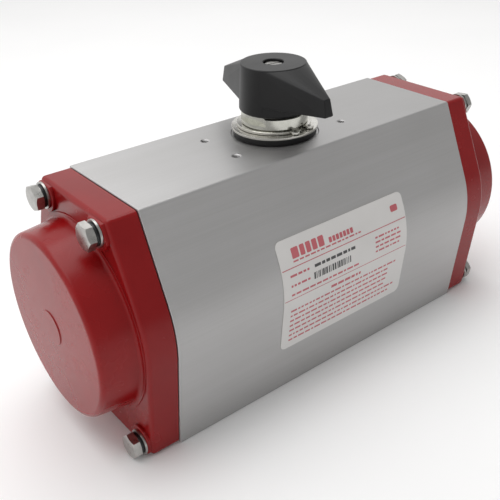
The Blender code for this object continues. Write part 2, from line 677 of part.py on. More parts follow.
def pinion_profile():
    """The shaft's journals, grooves and shoulders, from the top down."""
    top, bottom = TOP_JOURNAL_RADIUS, BOTTOM_JOURNAL_RADIUS
    relief = GEAR_HALF_HEIGHT + MM

    def groove(journal, low, high, floor):
        return [(journal, high), (floor, high), (floor, low), (journal, low)]

    return [(0.0, PINION_TOP_Z), (top - 0.8 * MM, PINION_TOP_Z), (top, PINION_TOP_Z - 0.8 * MM),
            *groove(top, *CIRCLIP_GROOVE), *groove(top, *TOP_SEAL_GROOVE),
            (top, AXIS_Z + relief), (GEAR_CORE_RADIUS, AXIS_Z + relief),
            (GEAR_CORE_RADIUS, AXIS_Z - relief), (top, AXIS_Z - relief),
            (top, BOTTOM_JOURNAL_TOP_Z), (bottom, BOTTOM_JOURNAL_TOP_Z), *groove(bottom, *BOTTOM_SEAL_GROOVE),
            (bottom, PINION_BOTTOM_Z), (0.0, PINION_BOTTOM_Z)]


def shaft_flats(half_width, bottom, top):
    """Two blocks that leave a pair of flats, facing -X and +X."""
    bm = bmesh.new()
    reach = 40 * MM
    add_box(bm, (-reach, -reach, bottom), (-half_width, reach, top))
    add_box(bm, (half_width, -reach, bottom), (reach, reach, top))
    return bm


def make_pinion():
    pinion = turned("pinion", pinion_profile(), SHAFT_SEGMENTS, material=NICKEL)
    gear = prism("pinion_teeth", [gear_outline()], AXIS_Z - GEAR_HALF_HEIGHT, AXIS_Z + GEAR_HALF_HEIGHT)
    combine(pinion, gear, "UNION")
    cut(pinion, shaft_flats(SHAFT_FLAT_X, SHAFT_FLAT_Z, PINION_TOP_Z + MM), "top_flats")
    cut(pinion, shaft_flats(CAM_FLAT_X, CAM_Z[0] - GAP, CAM_Z[1] + GAP), "cam_flats")
    key = bmesh.new()
    half = KEY_WIDTH / 2
    add_box(key, (-half, -half, PINION_TOP_Z - 2 * MM), (half, half, KEY_TOP_Z))
    combine(pinion, add_object("pinion_key", mesh_from(key, "key"), CUTTERS), "UNION")
    thread = bmesh.new()
    add_cylinder(thread, SCREW_SHANK_RADIUS + GAP, (0, 0, SCREW_END_Z - 3 * MM), (0, 0, KEY_TOP_Z + MM), 12)
    cut(pinion, thread, "screw_hole")
    half = DRIVE_SQUARE / 2
    for angle in (0, 45):
        socket = bmesh.new()
        add_box(socket, (-half, -half, -MM), (half, half, DRIVE_DEPTH))
        bmesh.ops.rotate(socket, verts=socket.verts, matrix=Matrix.Rotation(radians(angle), 3, "Z"))
        cut(pinion, socket, f"drive_socket_{angle}")


def make_top_stack():
    bottom, top, inner, outer = THRUST_WASHER
    ring("thrust_washer", bottom, top, inner, outer, SHAFT_SEGMENTS, material=BLACK_PLASTIC)
    bottom, top, inner, outer = PINION_WASHER
    ring("pinion_washer", bottom, top, inner, outer, SHAFT_SEGMENTS, material=STAINLESS)


def make_circlip():
    bottom, top, inner, outer = CIRCLIP
    start = CIRCLIP_GAP_ANGLE + CIRCLIP_LUG_SPREAD
    end = CIRCLIP_GAP_ANGLE - CIRCLIP_LUG_SPREAD + 2 * pi
    outline = (arc((0.0, 0.0), outer, start, end, 24) + arc((0.0, 0.0), inner, end, start, 24))
    circlip = prism("circlip", [outline], bottom, top, material=STAINLESS)
    holes = bmesh.new()
    for number, angle in enumerate((start, end)):
        x, y = CIRCLIP_LUG_PLACE * cos(angle), CIRCLIP_LUG_PLACE * sin(angle)
        lug = bmesh.new()
        add_cylinder(lug, CIRCLIP_LUG_RADIUS, (x, y, bottom), (x, y, top), 12)
        combine(circlip, add_object(f"circlip_lug_{number}", mesh_from(lug, "lug"), CUTTERS), "UNION")
        add_cylinder(holes, CIRCLIP_LUG_HOLE, (x, y, bottom - MM), (x, y, top + MM), 8)
    cut(circlip, holes, "holes")


def make_pinion_bearings_and_seals():
    for name, heights, inner, outer in (
            ("top", TOP_BEARING_Z, TOP_JOURNAL_RADIUS, TOP_BEARING_HOUSING_RADIUS),
            ("bottom", BOTTOM_BEARING_Z, BOTTOM_JOURNAL_RADIUS, BOTTOM_BEARING_HOUSING_RADIUS)):
        ring(f"pinion_bearing_{name}", *heights, inner + GAP, outer - GAP, SHAFT_SEGMENTS,
             material=BEARING_PLASTIC)
    for name, (low, high, floor), outer in (("top", TOP_SEAL_GROOVE, TOP_JOURNAL_RADIUS),
                                            ("bottom", BOTTOM_SEAL_GROOVE, BOTTOM_JOURNAL_RADIUS)):
        ring(f"pinion_seal_{name}", low + GAP, high - GAP, floor + GAP, outer, SHAFT_SEGMENTS, material=RUBBER)


def cam_outline():
    """A hub and a lobe: the lobe is cut back to the plane that meets the stop screws."""
    stop = CAM_STOP_Y
    corner = acos(stop / CAM_LOBE_RADIUS)
    shoulder = acos(stop / CAM_HUB_RADIUS)
    lobe = arc((0.0, 0.0), CAM_LOBE_RADIUS, pi / 2 + corner, 2 * pi - corner, 16)
    hub = arc((0.0, 0.0), CAM_HUB_RADIUS, -shoulder, pi / 2 + shoulder, 14)
    return lobe + hub


def make_stop_cam():
    cam = prism("stop_cam", [cam_outline()], CAM_Z[0], CAM_Z[1], material=ZINC)
    hole = bmesh.new()
    add_cylinder(hole, TOP_JOURNAL_RADIUS + GAP, (0, 0, CAM_Z[0] - MM), (0, 0, CAM_Z[1] + MM), SHAFT_SEGMENTS)
    flats = shaft_flats(CAM_FLAT_X + GAP, CAM_Z[0] - 2 * MM, CAM_Z[1] + 2 * MM)
    cutter = add_object("stop_cam_bore", mesh_from(hole, "bore"), CUTTERS)
    combine(cutter, add_object("stop_cam_bore_flats", mesh_from(flats, "flats"), CUTTERS), "DIFFERENCE")
    combine(cam, cutter, "DIFFERENCE")


def knob_boss_radius(z):
    share = (KNOB_TOP_Z - z) / (KNOB_TOP_Z - KNOB_BOTTOM_Z)
    return KNOB_TOP_RADIUS + share * (KNOB_BOTTOM_RADIUS - KNOB_TOP_RADIUS)


def make_knob_wings():
    """Both wings in one: the hull of two discs inside the boss, the shoulders and the tips."""
    steps = 24
    points = []
    for z in (KNOB_TOP_Z - KNOB_SKIN, KNOB_WING_BOTTOM_Z):
        radius = knob_boss_radius(z) - KNOB_SKIN
        points += [(x, y, z) for x, y in arc((0.0, 0.0), radius, 0.0, 2 * pi * (steps - 1) / steps, steps - 1)]
    for half_width, reach, z in (KNOB_TIP_TOP, KNOB_TIP_BOTTOM, KNOB_SHOULDER):
        points += [(x, y, z) for x in (-half_width, half_width) for y in (-reach, reach)]
    hull = bmesh.new()
    verts = [hull.verts.new(p) for p in points]
    bmesh.ops.convex_hull(hull, input=verts)
    bmesh.ops.dissolve_limit(hull, angle_limit=radians(0.5), verts=hull.verts, edges=hull.edges)
    return add_object("knob_wings", mesh_from(hull, "knob_wings"), CUTTERS)


def make_knob():
    """The indicator: a slightly tapered round boss with two wings."""
    top_round = 0.8 * MM
    foot_round = 1.6 * MM
    profile = ((0.0, KNOB_TOP_Z),
               *arc((KNOB_TOP_RADIUS - top_round, KNOB_TOP_Z - top_round), top_round, pi / 2, 0.0, 2),
               *arc((KNOB_BOTTOM_RADIUS - foot_round, KNOB_BOTTOM_Z + foot_round), foot_round, 0.0, -pi / 2, 3),
               (0.0, KNOB_BOTTOM_Z))
    knob = turned("indicator_knob", profile, 40, material=BLACK_PLASTIC)
    combine(knob, make_knob_wings(), "UNION")
    recess = bmesh.new()
    add_cylinder(recess, KNOB_RECESS_RADIUS, (0, 0, KNOB_RECESS_Z), (0, 0, KNOB_TOP_Z + MM), 20)
    cut(knob, recess, "recess")
    hole = bmesh.new()
    add_cylinder(hole, SCREW_SHANK_RADIUS + GAP, (0, 0, KEY_TOP_Z - MM), (0, 0, KNOB_RECESS_Z + MM), 12)
    cut(knob, hole, "screw_hole")
    socket = bmesh.new()
    half = KEY_WIDTH / 2 + GAP
    add_box(socket, (-half, -half, KNOB_BOTTOM_Z - MM), (half, half, KEY_TOP_Z + GAP))
    cut(knob, socket, "key_socket")


def make_knob_screw():
    head_bottom = KNOB_RECESS_Z + GAP
    profile = ((0.0, SCREW_HEAD_TOP_Z), (SCREW_HEAD_RADIUS - 0.6 * MM, SCREW_HEAD_TOP_Z),
               (SCREW_HEAD_RADIUS, SCREW_HEAD_TOP_Z - 0.6 * MM), (SCREW_HEAD_RADIUS, head_bottom),
               (SCREW_SHANK_RADIUS, head_bottom), (SCREW_SHANK_RADIUS, SCREW_END_Z), (0.0, SCREW_END_Z))
    screw = turned("indicator_screw", profile, 14, material=ZINC)
    slot = bmesh.new()
    add_box(slot, (-8 * MM, -0.6 * MM, SCREW_HEAD_TOP_Z - 1.2 * MM), (8 * MM, 0.6 * MM, SCREW_HEAD_TOP_Z + MM))
    bmesh.ops.rotate(slot, verts=slot.verts, matrix=Matrix.Rotation(radians(-12.0), 3, "Z"))
    cut(screw, slot, "slot")


# ---------------------------------------------------------------- pistons

def rack_outline():
    """The right piston's arm in X and Y: teeth face +Y, the plain back faces -Y."""
    pitch = pi * MODULE
    half_at_pitch_line = (pitch / 2 - TOOTH_THINNING) / 2
    root_y = -PITCH_RADIUS - DEDENDUM
    tip_y = -PITCH_RADIUS + ADDENDUM
    root_half = half_at_pitch_line + DEDENDUM * tan(PRESSURE_ANGLE)
    tip_half = half_at_pitch_line - ADDENDUM * tan(PRESSURE_ANGLE)
    points = [(PISTON_INNER_X + 8 * MM, root_y), (PISTON_INNER_X + 8 * MM, -ARM_BACK_Y),
              (ARM_TIP_X, -ARM_BACK_Y), (ARM_TIP_X, root_y)]
    for number in RACK_TEETH:
        x = number * pitch
        points += [(x - root_half, root_y), (x - tip_half, tip_y), (x + tip_half, tip_y), (x + root_half, root_y)]
    return points


def piston_profile():
    """The piston's head, from its outer end in, with grooves for the seal and the wear ring."""
    radius = PISTON_RADIUS
    recess_floor = PISTON_OUTER_X - PISTON_RECESS_DEPTH
    profile = [(0.0, recess_floor), (PISTON_RECESS_RADIUS - 2 * MM, recess_floor),
               (PISTON_RECESS_RADIUS, PISTON_OUTER_X), (radius - MM, PISTON_OUTER_X), (radius, PISTON_OUTER_X - MM)]
    for start, end, inner in (PISTON_SEAL, WEAR_RING):
        floor = inner - GAP
        profile += [(radius, end + GAP), (floor, end + GAP), (floor, start - GAP), (radius, start - GAP)]
    profile += [(radius, PISTON_INNER_X + MM), (radius - MM, PISTON_INNER_X), (0.0, PISTON_INNER_X)]
    return profile


def guide_outline():
    """The rack guide in Y and Z: flat against the arm, round against the bore."""
    flat = ARM_BACK_Y + GAP
    edge = atan2(GUIDE_HALF_HEIGHT, (RING_OUTER_RADIUS ** 2 - GUIDE_HALF_HEIGHT ** 2) ** 0.5)
    bow = arc((0.0, 0.0), RING_OUTER_RADIUS, pi - edge, pi + edge, 6)
    return [(-flat, -GUIDE_HALF_HEIGHT), (-flat, GUIDE_HALF_HEIGHT), *bow]


def make_piston(name, side):
    """The right piston's rack runs along the -Y side; the left one is the same, turned half round."""
    half_turn = Matrix.Rotation(0.0 if side > 0 else pi, 4, "Z")
    place = half_turn @ cylinder_matrix(1)
    piston = turned(f"piston_{name}", piston_profile(), BORE_SEGMENTS, place, material=CAST_ALUMINIUM)
    arm = prism(f"piston_arm_{name}", [rack_outline()], -RACK_HALF_HEIGHT, RACK_HALF_HEIGHT,
                half_turn @ BORE_AXIS)
    combine(piston, arm, "UNION")
    peg_x = (GUIDE_X[0] + GUIDE_X[1]) / 2
    hole = bmesh.new()
    add_cylinder(hole, GUIDE_PEG_RADIUS + GAP, (peg_x, -ARM_BACK_Y + GUIDE_PEG_LENGTH + GAP, AXIS_Z),
                 (peg_x, -ARM_BACK_Y - MM, AXIS_Z), 12)
    bmesh.ops.transform(hole, verts=hole.verts, matrix=half_turn)
    cut(piston, hole, "guide_hole")

    start, end, inner = PISTON_SEAL
    ring(f"piston_seal_{name}", start, end, inner, RING_OUTER_RADIUS, BORE_SEGMENTS, place, RUBBER)
    start, end, inner = WEAR_RING
    ring(f"piston_wear_ring_{name}", start, end, inner, RING_OUTER_RADIUS, BORE_SEGMENTS, place, BEARING_PLASTIC)

    guide = prism(f"rack_guide_{name}", [guide_outline()], GUIDE_X[0], GUIDE_X[1],
                  half_turn @ BORE_AXIS @ ALONG_X, material=BEARING_PLASTIC)
    peg = bmesh.new()
    add_cylinder(peg, GUIDE_PEG_RADIUS, (peg_x, -ARM_BACK_Y + GUIDE_PEG_LENGTH, AXIS_Z),
                 (peg_x, -ARM_BACK_Y - 2 * MM, AXIS_Z), 12)
    bmesh.ops.transform(peg, verts=peg.verts, matrix=half_turn)
    combine(guide, add_object(f"guide_peg_{name}", mesh_from(peg, "peg"), CUTTERS), "UNION")


# ---------------------------------------------------------------- travel stops

def make_stop(name, sign):
    """A set screw through the rear wall, with its sealing washer and lock nut."""
    x = sign * STOP_X
    tip = CAM_STOP_Y + GAP
    place = Matrix.Translation((x, 0.0, STOP_Z)) @ Matrix.Rotation(-pi / 2, 4, "X")
    profile = ((0.0, STOP_END_Y), (BOLT_RADIUS - 0.7 * MM, STOP_END_Y), (BOLT_RADIUS, STOP_END_Y - 0.7 * MM),
               (BOLT_RADIUS, tip + 4 * MM), (BOLT_RADIUS - MM, tip + 3 * MM), (BOLT_RADIUS - MM, tip), (0.0, tip))
    screw = turned(f"stop_screw_{name}", profile, 12, place, material=ZINC)
    depth = 5 * MM
    socket = prism(f"stop_screw_{name}_socket", [hexagon(STOP_HEX_SOCKET)], STOP_END_Y - depth, STOP_END_Y + MM,
                   place, CUTTERS)
    combine(screw, socket, "DIFFERENCE")

    seal_start = STOP_POCKET_Y + GAP
    ring(f"stop_seal_{name}", seal_start, seal_start + STOP_SEAL_THICKNESS, BOLT_RADIUS + GAP,
         7.5 * MM, 14, place, RUBBER)
    nut_start = seal_start + STOP_SEAL_THICKNESS + GAP
    hole = arc((0.0, 0.0), BOLT_RADIUS + GAP, 2 * pi * 11 / 12, 0.0, 11)
    prism(f"stop_nut_{name}", [hexagon(BOLT_HEAD_ACROSS_FLATS), hole], nut_start,
          nut_start + STOP_NUT_THICKNESS, place, material=ZINC)


# ---------------------------------------------------------------- name plate

def plate_side(distance, low, high, steps):
    """The front wall's outline, moved out by distance, between two heights over the bore's axis."""
    bottom, side, top = body_half_outline(-distance, steps)
    line = [bottom, *side, top]
    def at_height(z):
        for (y0, z0), (y1, z1) in zip(line, line[1:]):
            if z0 <= z <= z1:
                return (y0 + (y1 - y0) * (z - z0) / (z1 - z0), z)
        return line[-1]
    inside = [point for point in line if low < point[1] < high]
    return [at_height(low), *inside, at_height(high)]


def make_name_plate():
    low, high = PLATE_Z[0] - AXIS_Z, PLATE_Z[1] - AXIS_Z
    back = plate_side(GAP, low, high, 10)
    front = plate_side(GAP + PLATE_THICKNESS, low, high, 10)
    section = [(-y, z) for y, z in back + front[::-1]]
    plate = prism("name_plate", [section], PLATE_X[0], PLATE_X[1], BORE_AXIS @ ALONG_X, material=PLATE_FILM)
    middle_x = (PLATE_X[0] + PLATE_X[1]) / 2
    middle_z = (PLATE_Z[0] + PLATE_Z[1]) / 2
    half_x = (PLATE_X[1] - PLATE_X[0]) / 2 - PLATE_CORNER_RADIUS
    half_z = (PLATE_Z[1] - PLATE_Z[0]) / 2 - PLATE_CORNER_RADIUS
    outline = []
    for quarter, (sx, sz) in enumerate(((1, 1), (-1, 1), (-1, -1), (1, -1))):
        centre = (middle_x + sx * half_x, middle_z + sz * half_z)
        outline += arc(centre, PLATE_CORNER_RADIUS, quarter * pi / 2, (quarter + 1) * pi / 2, 4)
    window = prism("name_plate_corners", [outline], 40 * MM, 75 * MM, ALONG_Y, CUTTERS)
    combine(plate, window, "INTERSECT")


# ---------------------------------------------------------------- assembly

def main():
    make_body()
    for name, side in SIDES:
        make_cap(name, side)
        make_cap_fasteners(name, side)
        make_piston(name, side)
    make_pinion()
    make_stop_cam()
    make_pinion_bearings_and_seals()
    make_top_stack()
    make_circlip()
    make_knob()
    make_knob_screw()
    make_stop("closed", -1)
    make_stop("open", 1)
    make_name_plate()
    for obj in PARTS.objects:
        finish(obj)


main()
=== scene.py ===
"""Looks of a double-acting rack and pinion rotary actuator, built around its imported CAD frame.

Frame: metres, +Z up along the pinion, +X along the bore, -Y towards the name plate, +Y towards the
air ports. Each fine piece stands for the CAD node of the same name, takes its place from that node's
box, and rides on that node's body. Pieces shut away inside keep their CAD meshes.
"""
import json
import random
from math import acos, atan2, cos, hypot, pi, radians, sin, tan

import bmesh
import bpy
from mathutils import Matrix, Vector


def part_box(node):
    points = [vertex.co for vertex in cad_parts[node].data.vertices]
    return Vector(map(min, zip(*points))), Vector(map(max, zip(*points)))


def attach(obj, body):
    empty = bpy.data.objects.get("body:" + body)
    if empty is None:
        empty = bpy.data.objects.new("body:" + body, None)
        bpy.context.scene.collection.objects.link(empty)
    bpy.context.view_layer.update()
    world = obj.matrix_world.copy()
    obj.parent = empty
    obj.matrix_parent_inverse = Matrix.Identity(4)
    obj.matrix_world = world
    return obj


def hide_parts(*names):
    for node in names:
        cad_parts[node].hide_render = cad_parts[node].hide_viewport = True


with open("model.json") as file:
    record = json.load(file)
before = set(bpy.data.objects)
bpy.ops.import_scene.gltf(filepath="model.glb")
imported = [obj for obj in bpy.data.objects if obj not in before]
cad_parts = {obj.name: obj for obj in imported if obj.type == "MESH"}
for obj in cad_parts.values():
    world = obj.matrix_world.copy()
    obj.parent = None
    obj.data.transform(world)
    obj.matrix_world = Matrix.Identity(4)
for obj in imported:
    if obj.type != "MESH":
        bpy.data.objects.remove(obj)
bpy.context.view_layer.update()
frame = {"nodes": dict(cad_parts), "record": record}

MM = 0.001
RECORD = frame["record"]
BODY_OF = {node: body for body, nodes in RECORD["behaviour"]["bodies"].items() for node in nodes}
SLOT_OF = {part["node"]: part["material_slot"] for part in RECORD["subparts"]}
SIDES = (("left", -1), ("right", 1))

# Extruded body
HALF_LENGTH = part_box("body")[1].x
BODY_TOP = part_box("body")[1].z
AXIS_Z = BODY_TOP / 2                 # height of the bore's axis
TOP_HALF_WIDTH = 36.0 * MM
BOTTOM_HALF_WIDTH = 52.0 * MM
SIDE_RADIUS = 60.4 * MM               # the walls bulge round the bore
SIDE_STEPS = 40
TOP_CORNER_ROUND = 1.6 * MM
BOTTOM_CORNER_ROUND = 1.0 * MM
END_CHAMFER = 0.7 * MM
BORE_RADIUS = 50.0 * MM
TOP_HOLE_PLACE = (40.0 * MM, 15.0 * MM)
TOP_HOLE_RADIUS = 2.5 * MM
TOP_HOLE_DEPTH = 10.0 * MM
VALVE_PATTERNS = ((70.0 * MM, 3.4 * MM, 12.0 * MM, 1.25 * MM),    # circle diameter, radius, depth, pitch
                  (102.0 * MM, 4.2 * MM, 16.0 * MM, 1.5 * MM))
PAD_HALF_LENGTH = 27.0 * MM
PAD_HALF_HEIGHT = 18.0 * MM
PAD_Y = 58.4 * MM
PORT_X = 12.0 * MM
PORT_RADIUS = 5.7 * MM
PAD_HOLE_PLACE = (16.0 * MM, 12.0 * MM)
PAD_HOLE_RADIUS = 2.1 * MM
STOP_POCKET_RADIUS = 9.0 * MM
STOP_POCKET_Y = 50.6 * MM

# End caps
CAP_CORNER_ROUND = 3.0 * MM
CAP_EDGE_ROUND = 2.6 * MM
CAP_JOINT = HALF_LENGTH + 0.3 * MM
FLANGE_THICKNESS = 17.3 * MM
BOSS_HEIGHT = 1.8 * MM                # the bolts' raised seats
BOSS_RADIUS = 9.5 * MM
BOSS_INSET = 1.5 * MM
STEP_RADIUS = 57.2 * MM
STEP_HEIGHT = 0.6 * MM
DOME_RADIUS = 52.4 * MM
DOME_FOOT_RADIUS = 54.0 * MM
DOME_FOOT_FILLET = 2.0 * MM
DOME_EDGE_ROUND = 3.0 * MM
DOME_MARK_RADIUS = 10.2 * MM
DOME_MARK_HEIGHT = 0.5 * MM
CAVITY_RADIUS = 46.0 * MM
DOME_WALL = 4.5 * MM
SPIGOT_RADIUS = 49.7 * MM
SPIGOT_LENGTH = 5.5 * MM

# Fasteners
BOLT_RADIUS = 4.0 * MM
BOLT_PITCH = 1.25 * MM
HEX_ACROSS_FLATS = 13.0 * MM
BOLT_HEAD_HEIGHT = 4.8 * MM
BOLT_LENGTH = 35.0 * MM               # under the head
BOLT_SPIN = radians(25.0)             # each bolt is turned this much further than the last
BOLT_HOLE_RADIUS = 4.3 * MM
FLAT_WASHER_RADIUS = 7.4 * MM
SPRING_WASHER_RADIUS = 6.3 * MM
STOP_SEAL_RADIUS = 7.5 * MM
HEX_CHAMFER_SLOPE = 0.55

# Pinion and its stack
JOURNAL_RADIUS = 19.5 * MM
FOOT_JOURNAL_RADIUS = 26.0 * MM
FOOT_JOURNAL_TOP = 22.0 * MM
SHAFT_TOP = 152.9 * MM
GEAR_CORE_RADIUS = 18.0 * MM
GEAR_HALF_HEIGHT = 15.0 * MM
GEAR_SPACE_HALF = 16.0 * MM           # the shaft is turned down this far from the bore's axis
CIRCLIP_GROOVE = (143.9 * MM, 146.1 * MM, 18.2 * MM)              # bottom, top, radius
TOP_SEAL_GROOVE = (132.5 * MM, 136.0 * MM, 17.2 * MM)
FOOT_SEAL_GROOVE = (2.5 * MM, 6.5 * MM, 23.7 * MM)
TOP_FLATS = (15.9 * MM, 148.3 * MM, 154.0 * MM)                   # half width, bottom, top
CAM_FLATS = (17.0 * MM, 91.7 * MM, 103.3 * MM)
KEY_HALF = 7.0 * MM
DRIVE_HALF = 11.0 * MM                # two crossed squares in the pinion's lower end
DRIVE_CHAMFER = 0.6 * MM
DRIVE_DEPTH = 26.0 * MM
BEARING_WALL = 2.2 * MM
WASHER_BORE = 20.0 * MM
CIRCLIP_OPENING = radians(-82.0)      # where its two ends face each other
CIRCLIP_SPREAD = radians(16.0)
CIRCLIP_LUG_PLACE = 22.3 * MM
CIRCLIP_LUG_RADIUS = 2.5 * MM
CIRCLIP_EYE_RADIUS = 1.1 * MM

# Indicator knob
KNOB_TOP_RADIUS = 19.2 * MM
KNOB_BOTTOM_RADIUS = 20.6 * MM
KNOB_WING_RADIUS = 20.1 * MM          # the wings' lower disc, just inside the boss
KNOB_WING_BOTTOM = 159.3 * MM
KNOB_SOFT = 0.8 * MM
KNOB_TIP_SOFT = 0.9 * MM
KNOB_TIP_HALF = 2.6 * MM
KNOB_TIP_TOP = 169.3 * MM
KNOB_TIP_DRAFT = 1.6 * MM             # the tips lean back by this much at their top
KNOB_SHOULDER = (7.0 * MM, 28.0 * MM, 175.9 * MM)
KNOB_RECESS_RADIUS = 6.0 * MM
KNOB_RECESS_FLOOR = 176.5 * MM
KNOB_SOCKET_HALF = 7.3 * MM           # the square socket that takes the pinion's key
KNOB_SOCKET_TOP = 158.3 * MM
SCREW_HEAD_RADIUS = 5.2 * MM
SCREW_SHANK_RADIUS = 3.0 * MM
SCREW_HOLE_RADIUS = 3.3 * MM
SCREW_SLOT_HALF = 0.6 * MM
SCREW_SLOT_DEPTH = 1.2 * MM

# Name plate
PLATE_LOW, PLATE_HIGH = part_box("name_plate")
PLATE_CORNER_ROUND = 4.0 * MM
FILM = (0.02 * MM, 0.34 * MM)         # the film's back and front, out from the wall
PRINT = (0.35 * MM, 0.39 * MM)

# Camera and light
CAMERA_PLACE = Vector((-268.25, -328.16, 300.53)) * MM
CAMERA_TURN = (radians(39.05), radians(29.83), radians(-1.37))    # yaw from +Y, pitch down, roll
CAMERA_LENS = 54.4                    # millimetres on a 36 mm sensor
CAMERA_SHIFT = -0.05
DIM_SIDE = Vector((0.25, -1.0, 0.55))
DIM_FROM, DIM_TO = -0.1, 0.75
WORLD_BRIGHT, WORLD_DIM = 1.06, 0.42
FLOOR_HALF = 6.0


# ---------------------------------------------------------------- shapes

def arc(centre, radius, start, end, steps):
    """Points along an arc, with angles in radians."""
    angles = [start + (end - start) * i / steps for i in range(steps + 1)]
    return [(centre[0] + radius * cos(a), centre[1] + radius * sin(a)) for a in angles]


def rounded(corner, before, after, radius, steps):
    """A corner's rounding: an arc that touches the lines to the points before and after."""
    corner, before, after = Vector(corner), Vector(before), Vector(after)
    inward, onward = (before - corner).normalized(), (after - corner).normalized()
    half = inward.angle(onward) / 2
    centre = corner + (inward + onward).normalized() * radius / sin(half)
    first = corner + inward * radius / tan(half) - centre
    last = corner + onward * radius / tan(half) - centre
    turn = first.angle_signed(last)
    points = []
    for i in range(steps + 1):
        spoke = first.copy()
        spoke.rotate(Matrix.Rotation(-turn * i / steps, 2))
        points.append(tuple(centre + spoke))
    return points


def softened(corners, radius, steps=3, closed=False):
    """A path with every corner rounded by the same radius; an open path keeps its two ends."""
    points = []
    count = len(corners)
    for i, corner in enumerate(corners):
        if not closed and i in (0, count - 1):
            points.append(corner)
        else:
            points += rounded(corner, corners[i - 1], corners[(i + 1) % count], radius, steps)
    return points


def skin(bm, rings, place=None, segments=96, closed=False):
    """Join rings of (radius, height) round Z. A radius or a height may be a function of the angle."""
    place = place or Matrix()
    loops = []
    for radius, height in rings:
        loop = []
        for i in range(segments):
            angle = 2 * pi * i / segments
            r = radius(angle) if callable(radius) else radius
            h = height(angle) if callable(height) else height
            loop.append(bm.verts.new(place @ Vector((r * cos(angle), r * sin(angle), h))))
            if r < 1e-9:
                break
        loops.append(loop)
    pairs = zip(loops, loops[1:] + loops[:1]) if closed else zip(loops, loops[1:])
    for lower, upper in pairs:
        for i in range(segments):
            j = (i + 1) % segments
            corners = (lower[i % len(lower)], lower[j % len(lower)],
                       upper[j % len(upper)], upper[i % len(upper)])
            corners = list(dict.fromkeys(corners))
            if len(corners) > 2:
                bm.faces.new(corners)
    return bm


def post(radius, bottom, top):
    """The rings of a plain round bar, for skin."""
    return [(0.0, top), (radius, top), (radius, bottom), (0.0, bottom)]


def ring(bottom, top, inner, outer, edge=0.15 * MM, segments=96, place=None):
    """A flat ring with softened edges."""
    corners = ((outer, top), (outer, bottom), (inner, bottom), (inner, top))
    return skin(bmesh.new(), softened(corners, edge, 2, True), place, segments, True)


def loft(bm, sections):
    """Skin outlines of (y, z) that stand at the given x, and close both ends."""
    loops = [[bm.verts.new((x, y, AXIS_Z + z)) for y, z in outline] for x, outline in sections]
    for first, second in zip(loops, loops[1:]):
        for i in range(len(first)):
            j = (i + 1) % len(first)
            bm.faces.new((first[i], first[j], second[j], second[i]))
    bm.faces.new(loops[0])
    bm.faces.new(loops[-1])
    return bm


def box(bm, low, high):
    low, high = Vector(low), Vector(high)
    place = Matrix.Translation((low + high) / 2) @ Matrix.Diagonal((*(high - low), 1.0))
    bmesh.ops.create_cube(bm, size=1.0, matrix=place)
    return bm


def solid(bm, name):
    """A mesh object made from bm, with its faces turned outwards."""
    bmesh.ops.recalc_face_normals(bm, faces=bm.faces)
    mesh = bpy.data.meshes.new(name)
    bm.to_mesh(mesh)
    bm.free()
    obj = bpy.data.objects.new(name, mesh)
    bpy.context.scene.collection.objects.link(obj)
    return obj


def combine(obj, tool, operation="DIFFERENCE"):
    """Cut a tool out of obj, or join it on, for good."""
    cutter = solid(tool, "tool")
    modifier = obj.modifiers.new("combine", "BOOLEAN")
    modifier.operation = operation
    modifier.solver = "EXACT"
    modifier.object = cutter
    evaluated = obj.evaluated_get(bpy.context.evaluated_depsgraph_get())
    mesh = bpy.data.meshes.new_from_object(evaluated)
    obj.modifiers.clear()
    spent = (obj.data, cutter.data)
    obj.data = mesh
    bpy.data.objects.remove(cutter, do_unlink=True)
    for old in spent:
        bpy.data.meshes.remove(old)


def show(obj, node, material=None, sharp_degrees=30.0):
    """Let obj stand for a CAD node: its finish, its shading, and the body that carries it."""
    slot = SLOT_OF[node]
    obj.data.materials.clear()
    obj.data.materials.append(material or FINISHES[slot])
    obj.data.shade_smooth()
    obj.data.set_sharp_from_angle(angle=radians(sharp_degrees))
    shading = obj.modifiers.new("shading", "WEIGHTED_NORMAL")
    shading.keep_sharp = True
    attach(obj, BODY_OF[node])
    return obj


def stand_for(obj, node, sharp_degrees=30.0):
    show(obj, node, None, sharp_degrees)
    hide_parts(node)
    return obj


def along_bore(side):
    """Turns Z to run along the bore, out of the left (-1) or the right (+1) end."""
    return Matrix.Translation((0.0, 0.0, AXIS_Z)) @ Matrix.Rotation(side * pi / 2, 4, "Y")


def tapped(radius, depth, pitch, chamfer=0.5 * MM, beyond=2.0 * MM):
    """The tool for a tapped hole along Z, whose mouth is at height 0: thread ridges and a drill's point."""
    ridge = 0.55 * pitch
    rings = [(0.0, beyond), (radius + chamfer, beyond), (radius + chamfer, 0.0), (radius, -chamfer)]
    turns = int((depth - chamfer) / pitch)
    for turn in range(turns):
        height = -chamfer - turn * pitch
        rings += [(radius - ridge, height - pitch * 0.45), (radius, height - pitch * 0.9)]
    return rings + [(radius - ridge, -depth), (0.0, -depth - (radius - ridge) * 0.6)]


def facing(direction, position):
    """A placement whose Z points along direction."""
    return Matrix.Translation(position) @ Vector(direction).to_track_quat("Z", "Y").to_matrix().to_4x4()


# ---------------------------------------------------------------- finishes

def node(tree, kind, inputs=None, **settings):
    """Add a node; an input is either a value or another node's output."""
    made = tree.nodes.new(kind)
    for name, value in settings.items():
        setattr(made, name, value)
    for name, value in (inputs or {}).items():
        if isinstance(value, bpy.types.NodeSocket):
            tree.links.new(value, made.inputs[name])
        else:
            made.inputs[name].default_value = value
    return made


def grain(tree, scale, detail=3.0, roughness=0.5):
    """Noise with its own scale, in cells a metre, along each axis of the piece."""
    place = node(tree, "ShaderNodeTexCoord").outputs["Object"]
    stretched = node(tree, "ShaderNodeMapping", {"Vector": place, "Scale": scale}).outputs["Vector"]
    made = node(tree, "ShaderNodeTexNoise", {"Vector": stretched, "Scale": 1.0, "Detail": detail,
                                             "Roughness": roughness})
    return made.outputs["Fac"]


